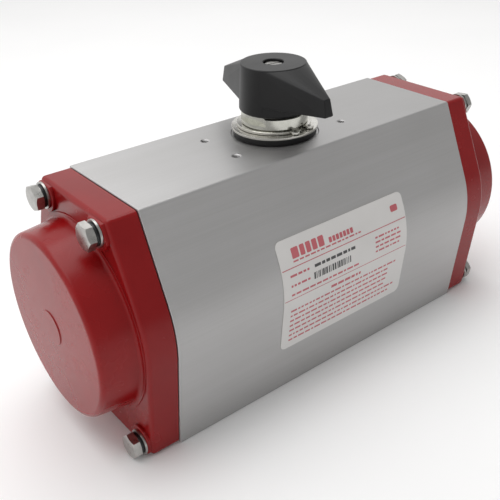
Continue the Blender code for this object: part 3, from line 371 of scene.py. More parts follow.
def lathe_lines(tree, pitch):
    """Fine rings round Z, on faces and on round sides, as a turning tool leaves them."""
    place = node(tree, "ShaderNodeTexCoord").outputs["Object"]
    parts = node(tree, "ShaderNodeSeparateXYZ", {"Vector": place})
    flat = node(tree, "ShaderNodeCombineXYZ", {"X": parts.outputs["X"], "Y": parts.outputs["Y"]})
    radius = node(tree, "ShaderNodeVectorMath", {"Vector": flat.outputs["Vector"]}, operation="LENGTH")
    reach = node(tree, "ShaderNodeMath", {0: radius.outputs["Value"], 1: parts.outputs["Z"]}, operation="ADD")
    along = node(tree, "ShaderNodeCombineXYZ", {"X": reach.outputs["Value"]})
    vector = along.outputs["Vector"]
    made = node(tree, "ShaderNodeTexNoise", {"Vector": vector, "Scale": 1.0 / pitch, "Detail": 2.0})
    return made.outputs["Fac"]


def spread(tree, value, low, high, start=0.3, end=0.7):
    """Map a noise's middle range onto low to high."""
    made = node(tree, "ShaderNodeMapRange", {"Value": value, "From Min": start, "From Max": end,
                                             "To Min": low, "To Max": high})
    return made.outputs["Result"]


def tinted(tree, value, first, second):
    """A colour between two, by a value from 0 to 1."""
    made = node(tree, "ShaderNodeMix", {0: value}, data_type="RGBA")
    made.inputs[6].default_value = (*first, 1.0)
    made.inputs[7].default_value = (*second, 1.0)
    return made.outputs[2]


def mixed(tree, first, second, share):
    made = node(tree, "ShaderNodeMix", {0: share, 2: first, 3: second})
    return made.outputs[0]


def relief(tree, height, strength, depth):
    made = node(tree, "ShaderNodeBump", {"Height": height, "Strength": strength, "Distance": depth})
    return made.outputs["Normal"]


def finish(name, colour, roughness, normal=None, **constants):
    """Finish a shader: colour and roughness are node outputs, and the rest are plain constants."""
    material = bpy.data.materials[name]
    tree = material.node_tree
    shader = tree.nodes["Principled BSDF"]
    tree.links.new(colour, shader.inputs["Base Color"])
    tree.links.new(roughness, shader.inputs["Roughness"])
    if normal is not None:
        tree.links.new(normal, shader.inputs["Normal"])
    for socket, value in constants.items():
        shader.inputs[socket.replace("_", " ")].default_value = value
    return material


def new_tree(name):
    material = bpy.data.materials.new(name)
    material.use_nodes = True
    return material.node_tree


def anodised_aluminium():
    """Drawn lines along the extrusion, some fine and some broad, which spread reflections across them."""
    tree = new_tree("anodised_aluminium_fine")
    fine = grain(tree, (9.0, 1500.0, 1500.0), 3.0)
    broad = grain(tree, (5.0, 170.0, 170.0), 2.0)
    cloud = grain(tree, (14.0, 22.0, 22.0), 2.0)
    lines = mixed(tree, fine, broad, 0.45)
    tone = spread(tree, mixed(tree, lines, cloud, 0.3), 0.0, 1.0)
    colour = tinted(tree, tone, (0.44, 0.435, 0.43), (0.52, 0.515, 0.515))
    rough = spread(tree, lines, 0.40, 0.52)
    along = node(tree, "ShaderNodeTangent", direction_type="RADIAL", axis="X").outputs["Tangent"]
    tree.links.new(along, tree.nodes["Principled BSDF"].inputs["Tangent"])
    return finish("anodised_aluminium_fine", colour, rough, relief(tree, fine, 0.10, 0.02 * MM),
                  Metallic=0.9, Anisotropic=0.7)


def red_paint():
    """Thick gloss enamel with a very slight orange peel."""
    tree = new_tree("red_paint_fine")
    peel = grain(tree, (160.0, 160.0, 160.0), 1.0)
    cloud = grain(tree, (30.0, 30.0, 30.0), 3.0)
    colour = tinted(tree, spread(tree, cloud, 0.0, 1.0), (0.215, 0.0035, 0.0045), (0.26, 0.0055, 0.0065))
    rough = spread(tree, mixed(tree, peel, cloud, 0.6), 0.20, 0.30)
    bumps = relief(tree, peel, 0.03, 0.03 * MM)
    return finish("red_paint_fine", colour, rough, bumps, Specular_IOR_Level=0.27)


def plated(name, low, high, rough, pitch=None):
    """Plated or bright steel with faint blotches, and turning lines where a pitch is given."""
    tree = new_tree(name)
    blotch = grain(tree, (260.0, 260.0, 260.0), 4.0, 0.6)
    colour = tinted(tree, spread(tree, blotch, 0.0, 1.0), low, high)
    texture = lathe_lines(tree, pitch) if pitch else grain(tree, (2600.0, 2600.0, 2600.0), 2.0)
    shine = spread(tree, mixed(tree, blotch, texture, 0.5), *rough)
    return finish(name, colour, shine, relief(tree, texture, 0.15, 0.02 * MM), Metallic=1.0)


def moulded(name, low, high, rough, cell, depth, shine_level=0.5):
    """Plastic or rubber with a fine eroded grain."""
    tree = new_tree(name)
    skin_grain = grain(tree, (1.0 / cell,) * 3, 3.0, 0.6)
    cloud = grain(tree, (40.0, 40.0, 40.0), 2.0)
    colour = tinted(tree, spread(tree, cloud, 0.0, 1.0), low, high)
    shine = spread(tree, mixed(tree, skin_grain, cloud, 0.5), *rough)
    return finish(name, colour, shine, relief(tree, skin_grain, 0.25, depth), Specular_IOR_Level=shine_level)


METALS = {                            # dark and light colour, roughness range, pitch of turning lines
    "zinc_steel": ((0.36, 0.355, 0.34), (0.50, 0.49, 0.47), (0.24, 0.40)),
    "dark_steel": ((0.035, 0.035, 0.037), (0.06, 0.06, 0.06), (0.35, 0.5)),
    "nickel_steel": ((0.52, 0.52, 0.47), (0.62, 0.62, 0.57), (0.14, 0.26), 0.25 * MM),
    "stainless_steel": ((0.50, 0.49, 0.45), (0.64, 0.63, 0.60), (0.16, 0.30), 0.2 * MM),
    "piston_aluminium": ((0.44, 0.44, 0.44), (0.56, 0.56, 0.55), (0.38, 0.55)),
}
MOULDINGS = {                         # dark and light colour, roughness range, grain's cell and depth, shine
    "black_plastic": ((0.006, 0.006, 0.0065), (0.009, 0.009, 0.0095), (0.36, 0.48), 0.35 * MM, 0.03 * MM,
                      0.3),
    "bearing_plastic": ((0.66, 0.64, 0.56), (0.76, 0.74, 0.66), (0.42, 0.55), 0.5 * MM, 0.02 * MM),
    "black_rubber": ((0.016, 0.016, 0.016), (0.024, 0.024, 0.024), (0.62, 0.78), 0.4 * MM, 0.03 * MM),
    "plate_film": ((0.66, 0.645, 0.63), (0.70, 0.685, 0.67), (0.36, 0.46), 0.8 * MM, 0.005 * MM),
}
FINISHES = {"anodised_aluminium": anodised_aluminium(), "red_paint": red_paint()}
FINISHES.update((slot, plated(f"{slot}_fine", *look)) for slot, look in METALS.items())
FINISHES.update((slot, moulded(f"{slot}_fine", *look)) for slot, look in MOULDINGS.items())
RED_PRINT = moulded("red_print", (0.46, 0.10, 0.12), (0.54, 0.13, 0.15), (0.40, 0.5), 0.5 * MM, 0.005 * MM)
DARK_PRINT = moulded("dark_print", (0.05, 0.05, 0.05), (0.07, 0.07, 0.07), (0.40, 0.5), 0.5 * MM, 0.005 * MM)


# ---------------------------------------------------------------- body

def tangent_angle(point, radius, branch):
    """Angle at which a line from point touches the circle round the bore."""
    return atan2(point[1], point[0]) + branch * acos(radius / hypot(*point))


def half_wall(inset):
    """The right-hand wall's line in Y and Z from the bore's axis: bottom corner, bulge, top corner."""
    radius = SIDE_RADIUS - inset
    bottom = (BOTTOM_HALF_WIDTH - inset, inset - AXIS_Z)
    top = (TOP_HALF_WIDTH - inset, BODY_TOP - AXIS_Z - inset)
    low, high = tangent_angle(bottom, radius, 1), tangent_angle(top, radius, -1)
    side = arc((0.0, 0.0), radius, low, high, SIDE_STEPS)
    return bottom, side, top


def wall_outline(inset=0.0, bottom_round=BOTTOM_CORNER_ROUND, top_round=TOP_CORNER_ROUND):
    bottom, side, top = half_wall(inset)
    low = rounded(bottom, (-bottom[0], bottom[1]), side[0], bottom_round, 5)
    high = rounded(top, side[-1], (-top[0], top[1]), top_round, 6)
    half = [*low, *side, *high]
    return half + [(-y, z) for y, z in reversed(half)]


def soft_end(end, direction, radius, steps, outline):
    """Sections that round an outline off towards end, from the side inwards."""
    sections = []
    for i in range(steps + 1):
        angle = pi / 2 * i / steps
        inset = radius * (1 - cos(angle))
        sections.append((end - direction * radius * (1 - sin(angle)), outline(inset)))
    return sections


def pinion_opening():
    """The stepped hole for the pinion, through the top and the bottom, with broken edges."""
    edge = 0.4 * MM
    seat, journal, washer = 19.8 * MM, 26.3 * MM, 25.8 * MM
    rings = [(0.0, BODY_TOP + MM), (washer + edge, BODY_TOP + MM), (washer + edge, BODY_TOP),
             (washer, BODY_TOP - edge), (washer, BODY_TOP - 0.5 * MM), (seat, BODY_TOP - 0.5 * MM),
             (seat, 130.0 * MM), (22.3 * MM, 130.0 * MM), (22.3 * MM, AXIS_Z), (28.8 * MM, AXIS_Z),
             (28.8 * MM, 7.7 * MM), (journal, 7.7 * MM), (journal, edge), (journal + edge, 0.0),
             (journal + edge, -MM), (0.0, -MM)]
    return skin(bmesh.new(), rings)


def body_holes():
    """Everything tapped or sunk into the top, the bottom and the rear of the body, but for the pinion's."""
    bm = bmesh.new()
    nut_low, nut_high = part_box("stop_nut_open")
    stop_x, stop_z = (nut_low.x + nut_high.x) / 2, (nut_low.z + nut_high.z) / 2
    for x in (-1, 1):
        for y in (-1, 1):
            place = facing((0, 0, 1), (x * TOP_HOLE_PLACE[0], y * TOP_HOLE_PLACE[1], BODY_TOP))
            skin(bm, tapped(TOP_HOLE_RADIUS, TOP_HOLE_DEPTH, 0.8 * MM, 0.3 * MM), place, 32)
            for circle, radius, depth, pitch in VALVE_PATTERNS:
                across = circle / 2 * cos(pi / 4)
                place = facing((0, 0, -1), (x * across, y * across, 0.0))
                skin(bm, tapped(radius, depth, pitch), place, 32)
            place = facing((0, 1, 0), (x * PAD_HOLE_PLACE[0], PAD_Y, AXIS_Z + y * PAD_HOLE_PLACE[1]))
            skin(bm, tapped(PAD_HOLE_RADIUS, 6.0 * MM, 0.8 * MM, 0.3 * MM), place, 24)
        place = facing((0, 1, 0), (x * PORT_X, PAD_Y, AXIS_Z))
        port_depth = 12.0 * MM if x < 0 else 6.0 * MM         # the left port opens into the bore
        skin(bm, tapped(PORT_RADIUS, port_depth, 1.3 * MM, 0.8 * MM), place, 48)
        place = facing((0, 1, 0), (x * stop_x, STOP_POCKET_Y, stop_z))
        wall = 14.0 * MM
        rings = [(0.0, 20 * MM), (STOP_POCKET_RADIUS, 20 * MM), (STOP_POCKET_RADIUS, 0.4 * MM),
                 (STOP_POCKET_RADIUS - 0.4 * MM, 0.0), (BOLT_HOLE_RADIUS, 0.0), (BOLT_HOLE_RADIUS, -wall),
                 (0.0, -wall)]
        skin(bm, rings, place, 64)
    return bm


def cap_bolt_holes():
    bm = bmesh.new()
    for name, side in SIDES:
        for number in range(1, 5):
            centre = bolt_place(name, number)
            place = facing((side, 0, 0), (side * HALF_LENGTH, centre.y, centre.z))
            skin(bm, tapped(BOLT_HOLE_RADIUS, 19.0 * MM, BOLT_PITCH), place, 32)
    return bm


def make_body():
    """The extruded body, with its bore, the pinion's hole, the rear pad and every tapped hole."""
    sections = soft_end(-HALF_LENGTH, -1, END_CHAMFER, 3, wall_outline)[::-1]
    sections += soft_end(HALF_LENGTH, 1, END_CHAMFER, 3, wall_outline)
    body = solid(loft(bmesh.new(), sections), "body_fine")
    beyond = HALF_LENGTH + MM
    combine(body, skin(bmesh.new(), post(BORE_RADIUS, -beyond, beyond), along_bore(1), 144))
    combine(body, pinion_opening())
    combine(body, box(bmesh.new(), (-PAD_HALF_LENGTH, PAD_Y, AXIS_Z - PAD_HALF_HEIGHT),
                      (PAD_HALF_LENGTH, PAD_Y + 9 * MM, AXIS_Z + PAD_HALF_HEIGHT)))
    combine(body, body_holes())
    combine(body, cap_bolt_holes())
    stand_for(body, "body")


# ---------------------------------------------------------------- end caps

def dome_rings(face, end):
    """The dome, its foot and the raised step round it, from the middle of the flat end outwards."""
    foot = face + STEP_HEIGHT
    edge = arc((DOME_RADIUS - DOME_EDGE_ROUND, end - DOME_EDGE_ROUND), DOME_EDGE_ROUND, pi / 2, 0.0, 10)
    fillet_centre = (DOME_FOOT_RADIUS + DOME_FOOT_FILLET, foot + DOME_FOOT_FILLET)
    fillet = arc(fillet_centre, DOME_FOOT_FILLET, pi, 1.5 * pi, 8)
    top = end + DOME_MARK_HEIGHT
    mark = softened([(0.0, top), (DOME_MARK_RADIUS - 0.35 * MM, top), (DOME_MARK_RADIUS, end), edge[0]],
                    0.22 * MM, 3)[:-1]
    lip = arc((STEP_RADIUS - 0.3 * MM, foot - 0.3 * MM), 0.3 * MM, pi / 2, 0.0, 3)
    return [*mark, *edge, *fillet, *lip, (STEP_RADIUS, face - 4 * MM), (0.0, face - 4 * MM)]


def cavity_rings(end, joint):
    """The hollow in the dome, open towards the bore."""
    ceiling = end - DOME_WALL
    edge = arc((CAVITY_RADIUS - DOME_EDGE_ROUND, ceiling - DOME_EDGE_ROUND), DOME_EDGE_ROUND, pi / 2, 0.0, 6)
    start = joint - SPIGOT_LENGTH - MM
    return [(0.0, ceiling), *edge, (CAVITY_RADIUS, start), (0.0, start)]


def spigot_rings(joint):
    """The collar that enters the bore, with its seal's groove."""
    end = joint - SPIGOT_LENGTH
    groove, inner = SPIGOT_RADIUS - 2.6 * MM, CAVITY_RADIUS - 2 * MM
    return [(SPIGOT_RADIUS, joint + 2 * MM), (SPIGOT_RADIUS, joint - 1.2 * MM), (groove, joint - 1.2 * MM),
            (groove, joint - 3.8 * MM), (SPIGOT_RADIUS, joint - 3.8 * MM), (SPIGOT_RADIUS, end + 0.5 * MM),
            (SPIGOT_RADIUS - 0.5 * MM, end), (inner, end), (inner, joint + 2 * MM)]


def bolt_place(name, number):
    """The middle of a cap bolt, from the box of its CAD node."""
    low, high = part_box(f"cap_bolt_{name}_{number}")
    return (low + high) / 2


def bolt_seats(name, side, face, outline):
    """Low seats under the bolts, with soft rims, that follow the flange's outline."""
    def seat_outline(further):
        return outline(BOSS_INSET + further)

    top = face + BOSS_HEIGHT
    sections = [(side * (face - MM), seat_outline(0.0))]
    sections += soft_end(side * top, side, 0.7 * MM, 4, seat_outline)
    seats = solid(loft(bmesh.new(), sections), "bolt_seats")
    discs = bmesh.new()
    for number in range(1, 5):
        middle = bolt_place(name, number)
        rings = [(0.0, face - 2 * MM), (BOSS_RADIUS, face - 2 * MM),
                 *arc((BOSS_RADIUS - 0.7 * MM, top - 0.7 * MM), 0.7 * MM, 0.0, pi / 2, 4), (0.0, top)]
        skin(discs, rings, facing((side, 0, 0), (0.0, middle.y, middle.z)), 72)
    combine(seats, discs, "INTERSECT")
    made = bmesh.new()
    made.from_mesh(seats.data)
    bpy.data.objects.remove(seats, do_unlink=True)
    return made


def make_cap(name, side):
    """A die-cast cap: a flange with soft edges, a hollow dome, and the spigot that enters the bore."""
    low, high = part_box(f"end_cap_{name}")
    end = max(abs(low.x), abs(high.x)) - DOME_MARK_HEIGHT
    joint = CAP_JOINT
    face = joint + FLANGE_THICKNESS
    inset = BODY_TOP - high.z

    def outline(further):
        """The flange's outline, further in than its own edge."""
        corner = CAP_CORNER_ROUND - further
        return wall_outline(inset + further, corner, corner)

    sections = soft_end(side * joint, -side, 0.3 * MM, 2, outline)[::-1]
    sections += soft_end(side * face, side, CAP_EDGE_ROUND, 6, outline)
    cap = solid(loft(bmesh.new(), sections), f"end_cap_{name}_fine")
    place = along_bore(side)
    combine(cap, bolt_seats(name, side, face, outline), "UNION")
    combine(cap, skin(bmesh.new(), dome_rings(face, end), place, 144), "UNION")
    combine(cap, skin(bmesh.new(), spigot_rings(joint), place, 144, True), "UNION")
    combine(cap, skin(bmesh.new(), cavity_rings(end, joint), place, 144))
    holes = bmesh.new()
    for number in range(1, 5):
        middle = bolt_place(name, number)
        beyond = face - joint + BOSS_HEIGHT + MM
        hole = post(BOLT_HOLE_RADIUS, -2 * MM, beyond)
        skin(holes, hole, facing((side, 0, 0), (side * joint, middle.y, middle.z)), 48)
    combine(cap, holes)
    stand_for(cap, f"end_cap_{name}")


# ---------------------------------------------------------------- fasteners

def hexagon(across):
    """Distance from the middle to the side of a hexagon, by angle."""
    return lambda angle: across / 2 / cos(angle % (pi / 3) - pi / 6)


def bevelled(across, flat_radius, face, side=1):
    """Height of a hexagon's rim where a cone trims its corners, at its top (1) or its bottom (-1)."""
    reach = hexagon(across)
    return lambda angle: face - side * (reach(angle) - flat_radius) * HEX_CHAMFER_SLOPE


def bolt_mesh(head, length):
    """A hexagon bolt with its head's underside at height 0, and its thread run down to -length."""
    across = HEX_ACROSS_FLATS
    reach = hexagon(across)
    flat = across / 2 - 0.5 * MM
    rings = [(0.0, head), (flat - 0.2 * MM, head), (reach, bevelled(across, flat, head)),
             (reach, 0.35 * MM), (across / 2 - 0.3 * MM, 0.35 * MM), (across / 2 - 0.3 * MM, 0.0),
             (BOLT_RADIUS + 0.3 * MM, 0.0), (BOLT_RADIUS, -0.3 * MM), (BOLT_RADIUS, -8.0 * MM)]
    for turn in range(int((length - 9.0 * MM) / BOLT_PITCH)):
        height = -8.0 * MM - turn * BOLT_PITCH
        rings += [(BOLT_RADIUS - 0.65 * MM, height - BOLT_PITCH / 2), (BOLT_RADIUS, height - BOLT_PITCH)]
    rings += [(BOLT_RADIUS - 0.9 * MM, -length), (0.0, -length)]
    obj = solid(skin(bmesh.new(), rings, None, 72), "bolt_pattern")
    mesh = obj.data
    bpy.data.objects.remove(obj, do_unlink=True)
    return mesh


def make_cap_fasteners(name, side, mesh):
    """A bolt with its dark split washer and its flat washer, at each corner of a cap."""
    for number in range(1, 5):
        middle = bolt_place(name, number)
        flat_reach, spring_reach = (sorted(abs(corner.x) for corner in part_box(f"{kind}_{name}_{number}"))
                                    for kind in ("flat_washer", "spring_washer"))
        turn = Matrix.Rotation(side * pi / 2, 4, "Y")
        place = Matrix.Translation((0.0, middle.y, middle.z)) @ turn
        spin = Matrix.Rotation(BOLT_SPIN * number, 4, "Z")
        underside = Matrix.Translation((0, 0, spring_reach[1] + 0.3 * MM))
        bolt = bpy.data.objects.new(f"cap_bolt_{name}_{number}_fine", mesh.copy())
        bpy.context.scene.collection.objects.link(bolt)
        bolt.matrix_world = place @ spin @ underside
        stand_for(bolt, f"cap_bolt_{name}_{number}", 25.0)

        start, end = spring_reach
        shape = ring(start - 0.25 * MM, end + 0.25 * MM, BOLT_HOLE_RADIUS, SPRING_WASHER_RADIUS, 0.2 * MM, 72)
        washer = solid(shape, f"spring_washer_{name}_{number}_fine")
        slot = box(bmesh.new(), (3 * MM, -0.6 * MM, start - MM), (9 * MM, 0.6 * MM, end + MM))
        bmesh.ops.rotate(slot, verts=slot.verts, cent=(0, 0, (start + end) / 2),
                         matrix=Matrix.Rotation(radians(25.0), 3, "X"))
        combine(washer, slot)
        washer.matrix_world = place @ spin
        stand_for(washer, f"spring_washer_{name}_{number}")

        start, end = flat_reach
        shape = ring(start - 0.25 * MM, end, BOLT_HOLE_RADIUS, FLAT_WASHER_RADIUS, 0.25 * MM, 72)
        flat = solid(shape, f"flat_washer_{name}_{number}_fine")
        flat.matrix_world = place
        stand_for(flat, f"flat_washer_{name}_{number}")


# ---------------------------------------------------------------- pinion and its stack

def star(half):
    """Distance from the middle to the side of two crossed squares, by angle."""
    def square(angle):
        return half / cos((angle + pi / 4) % (pi / 2) - pi / 4)

    return lambda angle: max(square(angle), square(angle + pi / 4))


def shaft_rings(low_z):
    """The shaft's journals, grooves and shoulders, from the top down, with broken edges."""
    top, bottom, edge = JOURNAL_RADIUS, FOOT_JOURNAL_RADIUS, 0.3 * MM
    clip_low, clip_high, clip_floor = CIRCLIP_GROOVE
    seal_low, seal_high, seal_floor = TOP_SEAL_GROOVE
    foot_low, foot_high, foot_floor = FOOT_SEAL_GROOVE
    gear_top, gear_bottom = AXIS_Z + GEAR_SPACE_HALF, AXIS_Z - GEAR_SPACE_HALF
    return [(0.0, SHAFT_TOP), (top - 0.8 * MM, SHAFT_TOP), (top, SHAFT_TOP - 0.8 * MM),
            (top, clip_high + edge), (top - edge, clip_high), (clip_floor, clip_high), (clip_floor, clip_low),
            (top - edge, clip_low), (top, clip_low - edge), (top, seal_high), (seal_floor, seal_high),
            (seal_floor, seal_low), (top, seal_low), (top, gear_top), (GEAR_CORE_RADIUS, gear_top),
            (GEAR_CORE_RADIUS, gear_bottom), (top, gear_bottom), (top, FOOT_JOURNAL_TOP),
            (bottom, FOOT_JOURNAL_TOP), (bottom, foot_high), (foot_floor, foot_high), (foot_floor, foot_low),
            (bottom, foot_low), (bottom, low_z + 0.5 * MM), (bottom - 0.5 * MM, low_z), (0.0, low_z)]


def flats(half_width, bottom, top):
    """Two blocks that leave a pair of flats, facing -X and +X."""
    reach = 40 * MM
    bm = box(bmesh.new(), (-reach, -reach, bottom), (-half_width, reach, top))
    return box(bm, (half_width, -reach, bottom), (reach, reach, top))


def gear_outline():
    """Involute teeth of module 2.5, with a tooth space facing each rack at rest."""
    teeth, module, pressure = 18, 2.5 * MM, radians(20.0)
    pitch_radius = teeth * module / 2
    base, tip, root = pitch_radius * cos(pressure), pitch_radius + 2.3 * MM, pitch_radius - 3.1 * MM
    flank = [root, *(base + (tip - base) * i / 8 for i in range(9))]

    def half_angle(radius):
        at = acos(min(1.0, base / max(radius, base)))
        return (pi * module / 2 - 0.33 * MM) / (2 * pitch_radius) + tan(pressure) - pressure - tan(at) + at

    points = []
    for tooth in range(teeth):
        centre = pi / 2 + (tooth + 0.5) * 2 * pi / teeth
        for side, radii in ((-1, flank), (1, flank[::-1])):
            for radius in radii:
                angle = centre + side * half_angle(radius)
                points.append((radius * cos(angle), radius * sin(angle)))
    return points


def upright(outline, bottom, top):
    """A flat outline in X and Y, extruded along Z."""
    bm = bmesh.new()
    lower = [bm.verts.new((x, y, bottom)) for x, y in outline]
    upper = [bm.verts.new((x, y, top)) for x, y in outline]
    for i in range(len(outline)):
        j = (i + 1) % len(outline)
        bm.faces.new((lower[i], lower[j], upper[j], upper[i]))
    bm.faces.new(lower[::-1])
    bm.faces.new(upper)
    return bm


def make_pinion():
    """The shaft with its gear, flats, key, screw hole, and the drive in its lower end."""
    low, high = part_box("pinion")
    pinion = solid(skin(bmesh.new(), shaft_rings(low.z), None, 144), "pinion_fine")
    gear = upright(gear_outline(), AXIS_Z - GEAR_HALF_HEIGHT, AXIS_Z + GEAR_HALF_HEIGHT)
    combine(pinion, gear, "UNION")
    combine(pinion, flats(*TOP_FLATS))
    combine(pinion, flats(*CAM_FLATS))
    key = box(bmesh.new(), (-KEY_HALF, -KEY_HALF, 150.0 * MM), (KEY_HALF, KEY_HALF, high.z))
    bmesh.ops.bevel(key, geom=key.edges, offset=0.4 * MM, segments=2, affect="EDGES")
    combine(pinion, key, "UNION")
    combine(pinion, skin(bmesh.new(), post(SCREW_HOLE_RADIUS, 141.0 * MM, high.z + MM), None, 48))
    reach, mouth = star(DRIVE_HALF), star(DRIVE_HALF + DRIVE_CHAMFER)
    rings = [(0.0, -MM), (mouth, -MM), (mouth, low.z), (reach, low.z + DRIVE_CHAMFER), (reach, DRIVE_DEPTH),
             (0.0, DRIVE_DEPTH + 3 * MM)]
    combine(pinion, skin(bmesh.new(), rings, None, 96))
    stand_for(pinion, "pinion", 25.0)


def make_rings():
    """The two bearings, the black thrust washer, and the bright washer above it."""
    for name in ("pinion_bearing_top", "pinion_bearing_bottom"):
        low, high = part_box(name)
        bearing = ring(low.z, high.z, high.x - BEARING_WALL, high.x, 0.3 * MM, 144)
        stand_for(solid(bearing, f"{name}_fine"), name)
    for name, lift, edge in (("thrust_washer", 0.2 * MM, 0.35 * MM), ("pinion_washer", 0.1 * MM, 0.25 * MM)):
        low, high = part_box(name)
        washer = ring(low.z, high.z + lift, WASHER_BORE, high.x, edge, 144)
        stand_for(solid(washer, f"{name}_fine"), name)


def make_circlip():
    """An external circlip: a ring that thins towards its ends, with an eye in each of its two lugs."""
    low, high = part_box("circlip")
    inner, edge = 18.5 * MM, 0.15 * MM

    def outer(angle):
        return 21.9 * MM - 0.7 * MM * cos(angle - CIRCLIP_OPENING)

    def outer_face(angle):
        return outer(angle) - edge

    corners = [(outer_face, high.z), (outer, high.z - edge), (outer, low.z + edge), (outer_face, low.z),
               (inner + edge, low.z), (inner, low.z + edge), (inner, high.z - edge), (inner + edge, high.z)]
    circlip = solid(skin(bmesh.new(), corners, None, 144, True), "circlip_fine")
    beyond = 40 * MM
    opening = [CIRCLIP_OPENING + angle for angle in (-CIRCLIP_SPREAD, 0.0, CIRCLIP_SPREAD)]
    wedge = [(0.0, 0.0)] + [(beyond * cos(angle), beyond * sin(angle)) for angle in opening]
    combine(circlip, upright(wedge, low.z - MM, high.z + MM))
    eyes = bmesh.new()
    lug, eye = CIRCLIP_LUG_RADIUS, CIRCLIP_EYE_RADIUS
    for angle in (opening[0], opening[2]):
        place = Matrix.Translation((CIRCLIP_LUG_PLACE * cos(angle), CIRCLIP_LUG_PLACE * sin(angle), 0.0))
        disc = softened(post(lug, low.z, high.z), 0.15 * MM, 2)
        combine(circlip, skin(bmesh.new(), disc, place, 48), "UNION")
        skin(eyes, post(eye, low.z - MM, high.z + MM), place, 24)
    combine(circlip, eyes)
    stand_for(circlip, "circlip")


def hull_of(points):
    """The convex hull of some points, as one closed mesh."""
    hull = bmesh.new()
    verts = [hull.verts.new(p) for p in points]
    made = bmesh.ops.convex_hull(hull, input=verts)
    inside = {g for key in ("geom_interior", "geom_unused") for g in made[key]}
    spare = [g for g in inside if isinstance(g, bmesh.types.BMVert)]
    bmesh.ops.delete(hull, geom=spare, context="VERTS")
    bmesh.ops.remove_doubles(hull, verts=hull.verts, dist=0.01 * MM)
    return hull


def ball(centre, radius):
    """Points on a small ball, which rounds a corner of a hull."""
    x, y, z = centre
    return [(x + radius * cos(lift) * cos(turn), y + radius * cos(lift) * sin(turn), z + radius * sin(lift))
            for lift in (k * pi / 8 for k in range(-4, 5)) for turn in (2 * pi * k / 24 for k in range(24))]


def knob_wings(high):
    """Both wings: the rounded hull of two discs just inside the boss, the shoulders and the tips."""
    points = []
    steps, under = 144, 0.1 * MM
    for i in range(steps):
        angle = 2 * pi * i / steps
        centre = (KNOB_TOP_RADIUS - KNOB_SOFT, high.z - under - KNOB_SOFT)
        rim = [*arc(centre, KNOB_SOFT - under, pi / 2, 0.0, 4),
               *arc((KNOB_WING_RADIUS - KNOB_SOFT, KNOB_WING_BOTTOM + KNOB_SOFT), KNOB_SOFT, 0.0, -pi / 2, 3)]
        points += [(r * cos(angle), r * sin(angle), z) for r, z in rim]
    top_y = high.y - KNOB_TIP_DRAFT
    corners = ((KNOB_TIP_HALF, top_y, KNOB_TIP_TOP - KNOB_TIP_SOFT),
               (KNOB_TIP_HALF + 0.6 * MM, high.y, KNOB_WING_BOTTOM + KNOB_TIP_SOFT),
               (KNOB_SHOULDER[0], KNOB_SHOULDER[1], KNOB_SHOULDER[2] - KNOB_TIP_SOFT))
    for half_width, reach, z in corners:
        for x in (KNOB_TIP_SOFT - half_width, half_width - KNOB_TIP_SOFT):
            for y in (KNOB_TIP_SOFT - reach, reach - KNOB_TIP_SOFT):
                points += ball((x, y, z), KNOB_TIP_SOFT)
    return hull_of(points)


def make_knob():
    """The indicator: a slightly tapered round boss with two wings, hollow under its key."""
    low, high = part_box("indicator_knob")
    boss = [(0.0, high.z), *arc((KNOB_TOP_RADIUS - KNOB_SOFT, high.z - KNOB_SOFT), KNOB_SOFT, pi / 2, 0.0, 5),
            *arc((KNOB_BOTTOM_RADIUS - 1.6 * MM, low.z + 1.6 * MM), 1.6 * MM, 0.0, -pi / 2, 6), (0.0, low.z)]
    knob = solid(skin(bmesh.new(), boss, None, 144), "indicator_knob_fine")
    combine(knob, knob_wings(high), "UNION")
    mouth, recess, hole = KNOB_RECESS_RADIUS + 0.4 * MM, KNOB_RECESS_RADIUS, SCREW_HOLE_RADIUS
    rings = [(0.0, high.z + MM), (mouth, high.z + MM), (mouth, high.z), (recess, high.z - 0.4 * MM),
             (recess, KNOB_RECESS_FLOOR), (hole, KNOB_RECESS_FLOOR), (hole, 157.0 * MM), (0.0, 157.0 * MM)]
    combine(knob, skin(bmesh.new(), rings, None, 72))
    half = KNOB_SOCKET_HALF
    combine(knob, box(bmesh.new(), (-half, -half, low.z - MM), (half, half, KNOB_SOCKET_TOP)))
    stand_for(knob, "indicator_knob", 28.0)


def make_knob_screw():
    """A slotted pan-head screw, with its thread in the pinion."""
    low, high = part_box("indicator_screw")
    head, shank, under = SCREW_HEAD_RADIUS, SCREW_SHANK_RADIUS, KNOB_RECESS_FLOOR + 0.3 * MM
    rings = [(0.0, high.z), (head - 0.6 * MM, high.z), (head - 0.2 * MM, high.z - 0.15 * MM),
             (head, high.z - 0.5 * MM), (head, under), (shank, under), (shank, 158.0 * MM)]
    for turn in range(int((158.0 * MM - low.z) / MM) - 1):
        rings += [(shank - 0.5 * MM, (157.5 - turn) * MM), (shank, (157.0 - turn) * MM)]
    rings += [(shank - 0.7 * MM, low.z), (0.0, low.z)]
    screw = solid(skin(bmesh.new(), rings, None, 64), "indicator_screw_fine")
    slot = box(bmesh.new(), (-8 * MM, -SCREW_SLOT_HALF, high.z - SCREW_SLOT_DEPTH),
               (8 * MM, SCREW_SLOT_HALF, high.z + MM))
    bmesh.ops.rotate(slot, verts=slot.verts, matrix=Matrix.Rotation(radians(-12.0), 3, "Z"))
    combine(screw, slot)
    stand_for(screw, "indicator_screw", 25.0)


# ---------------------------------------------------------------- travel stops

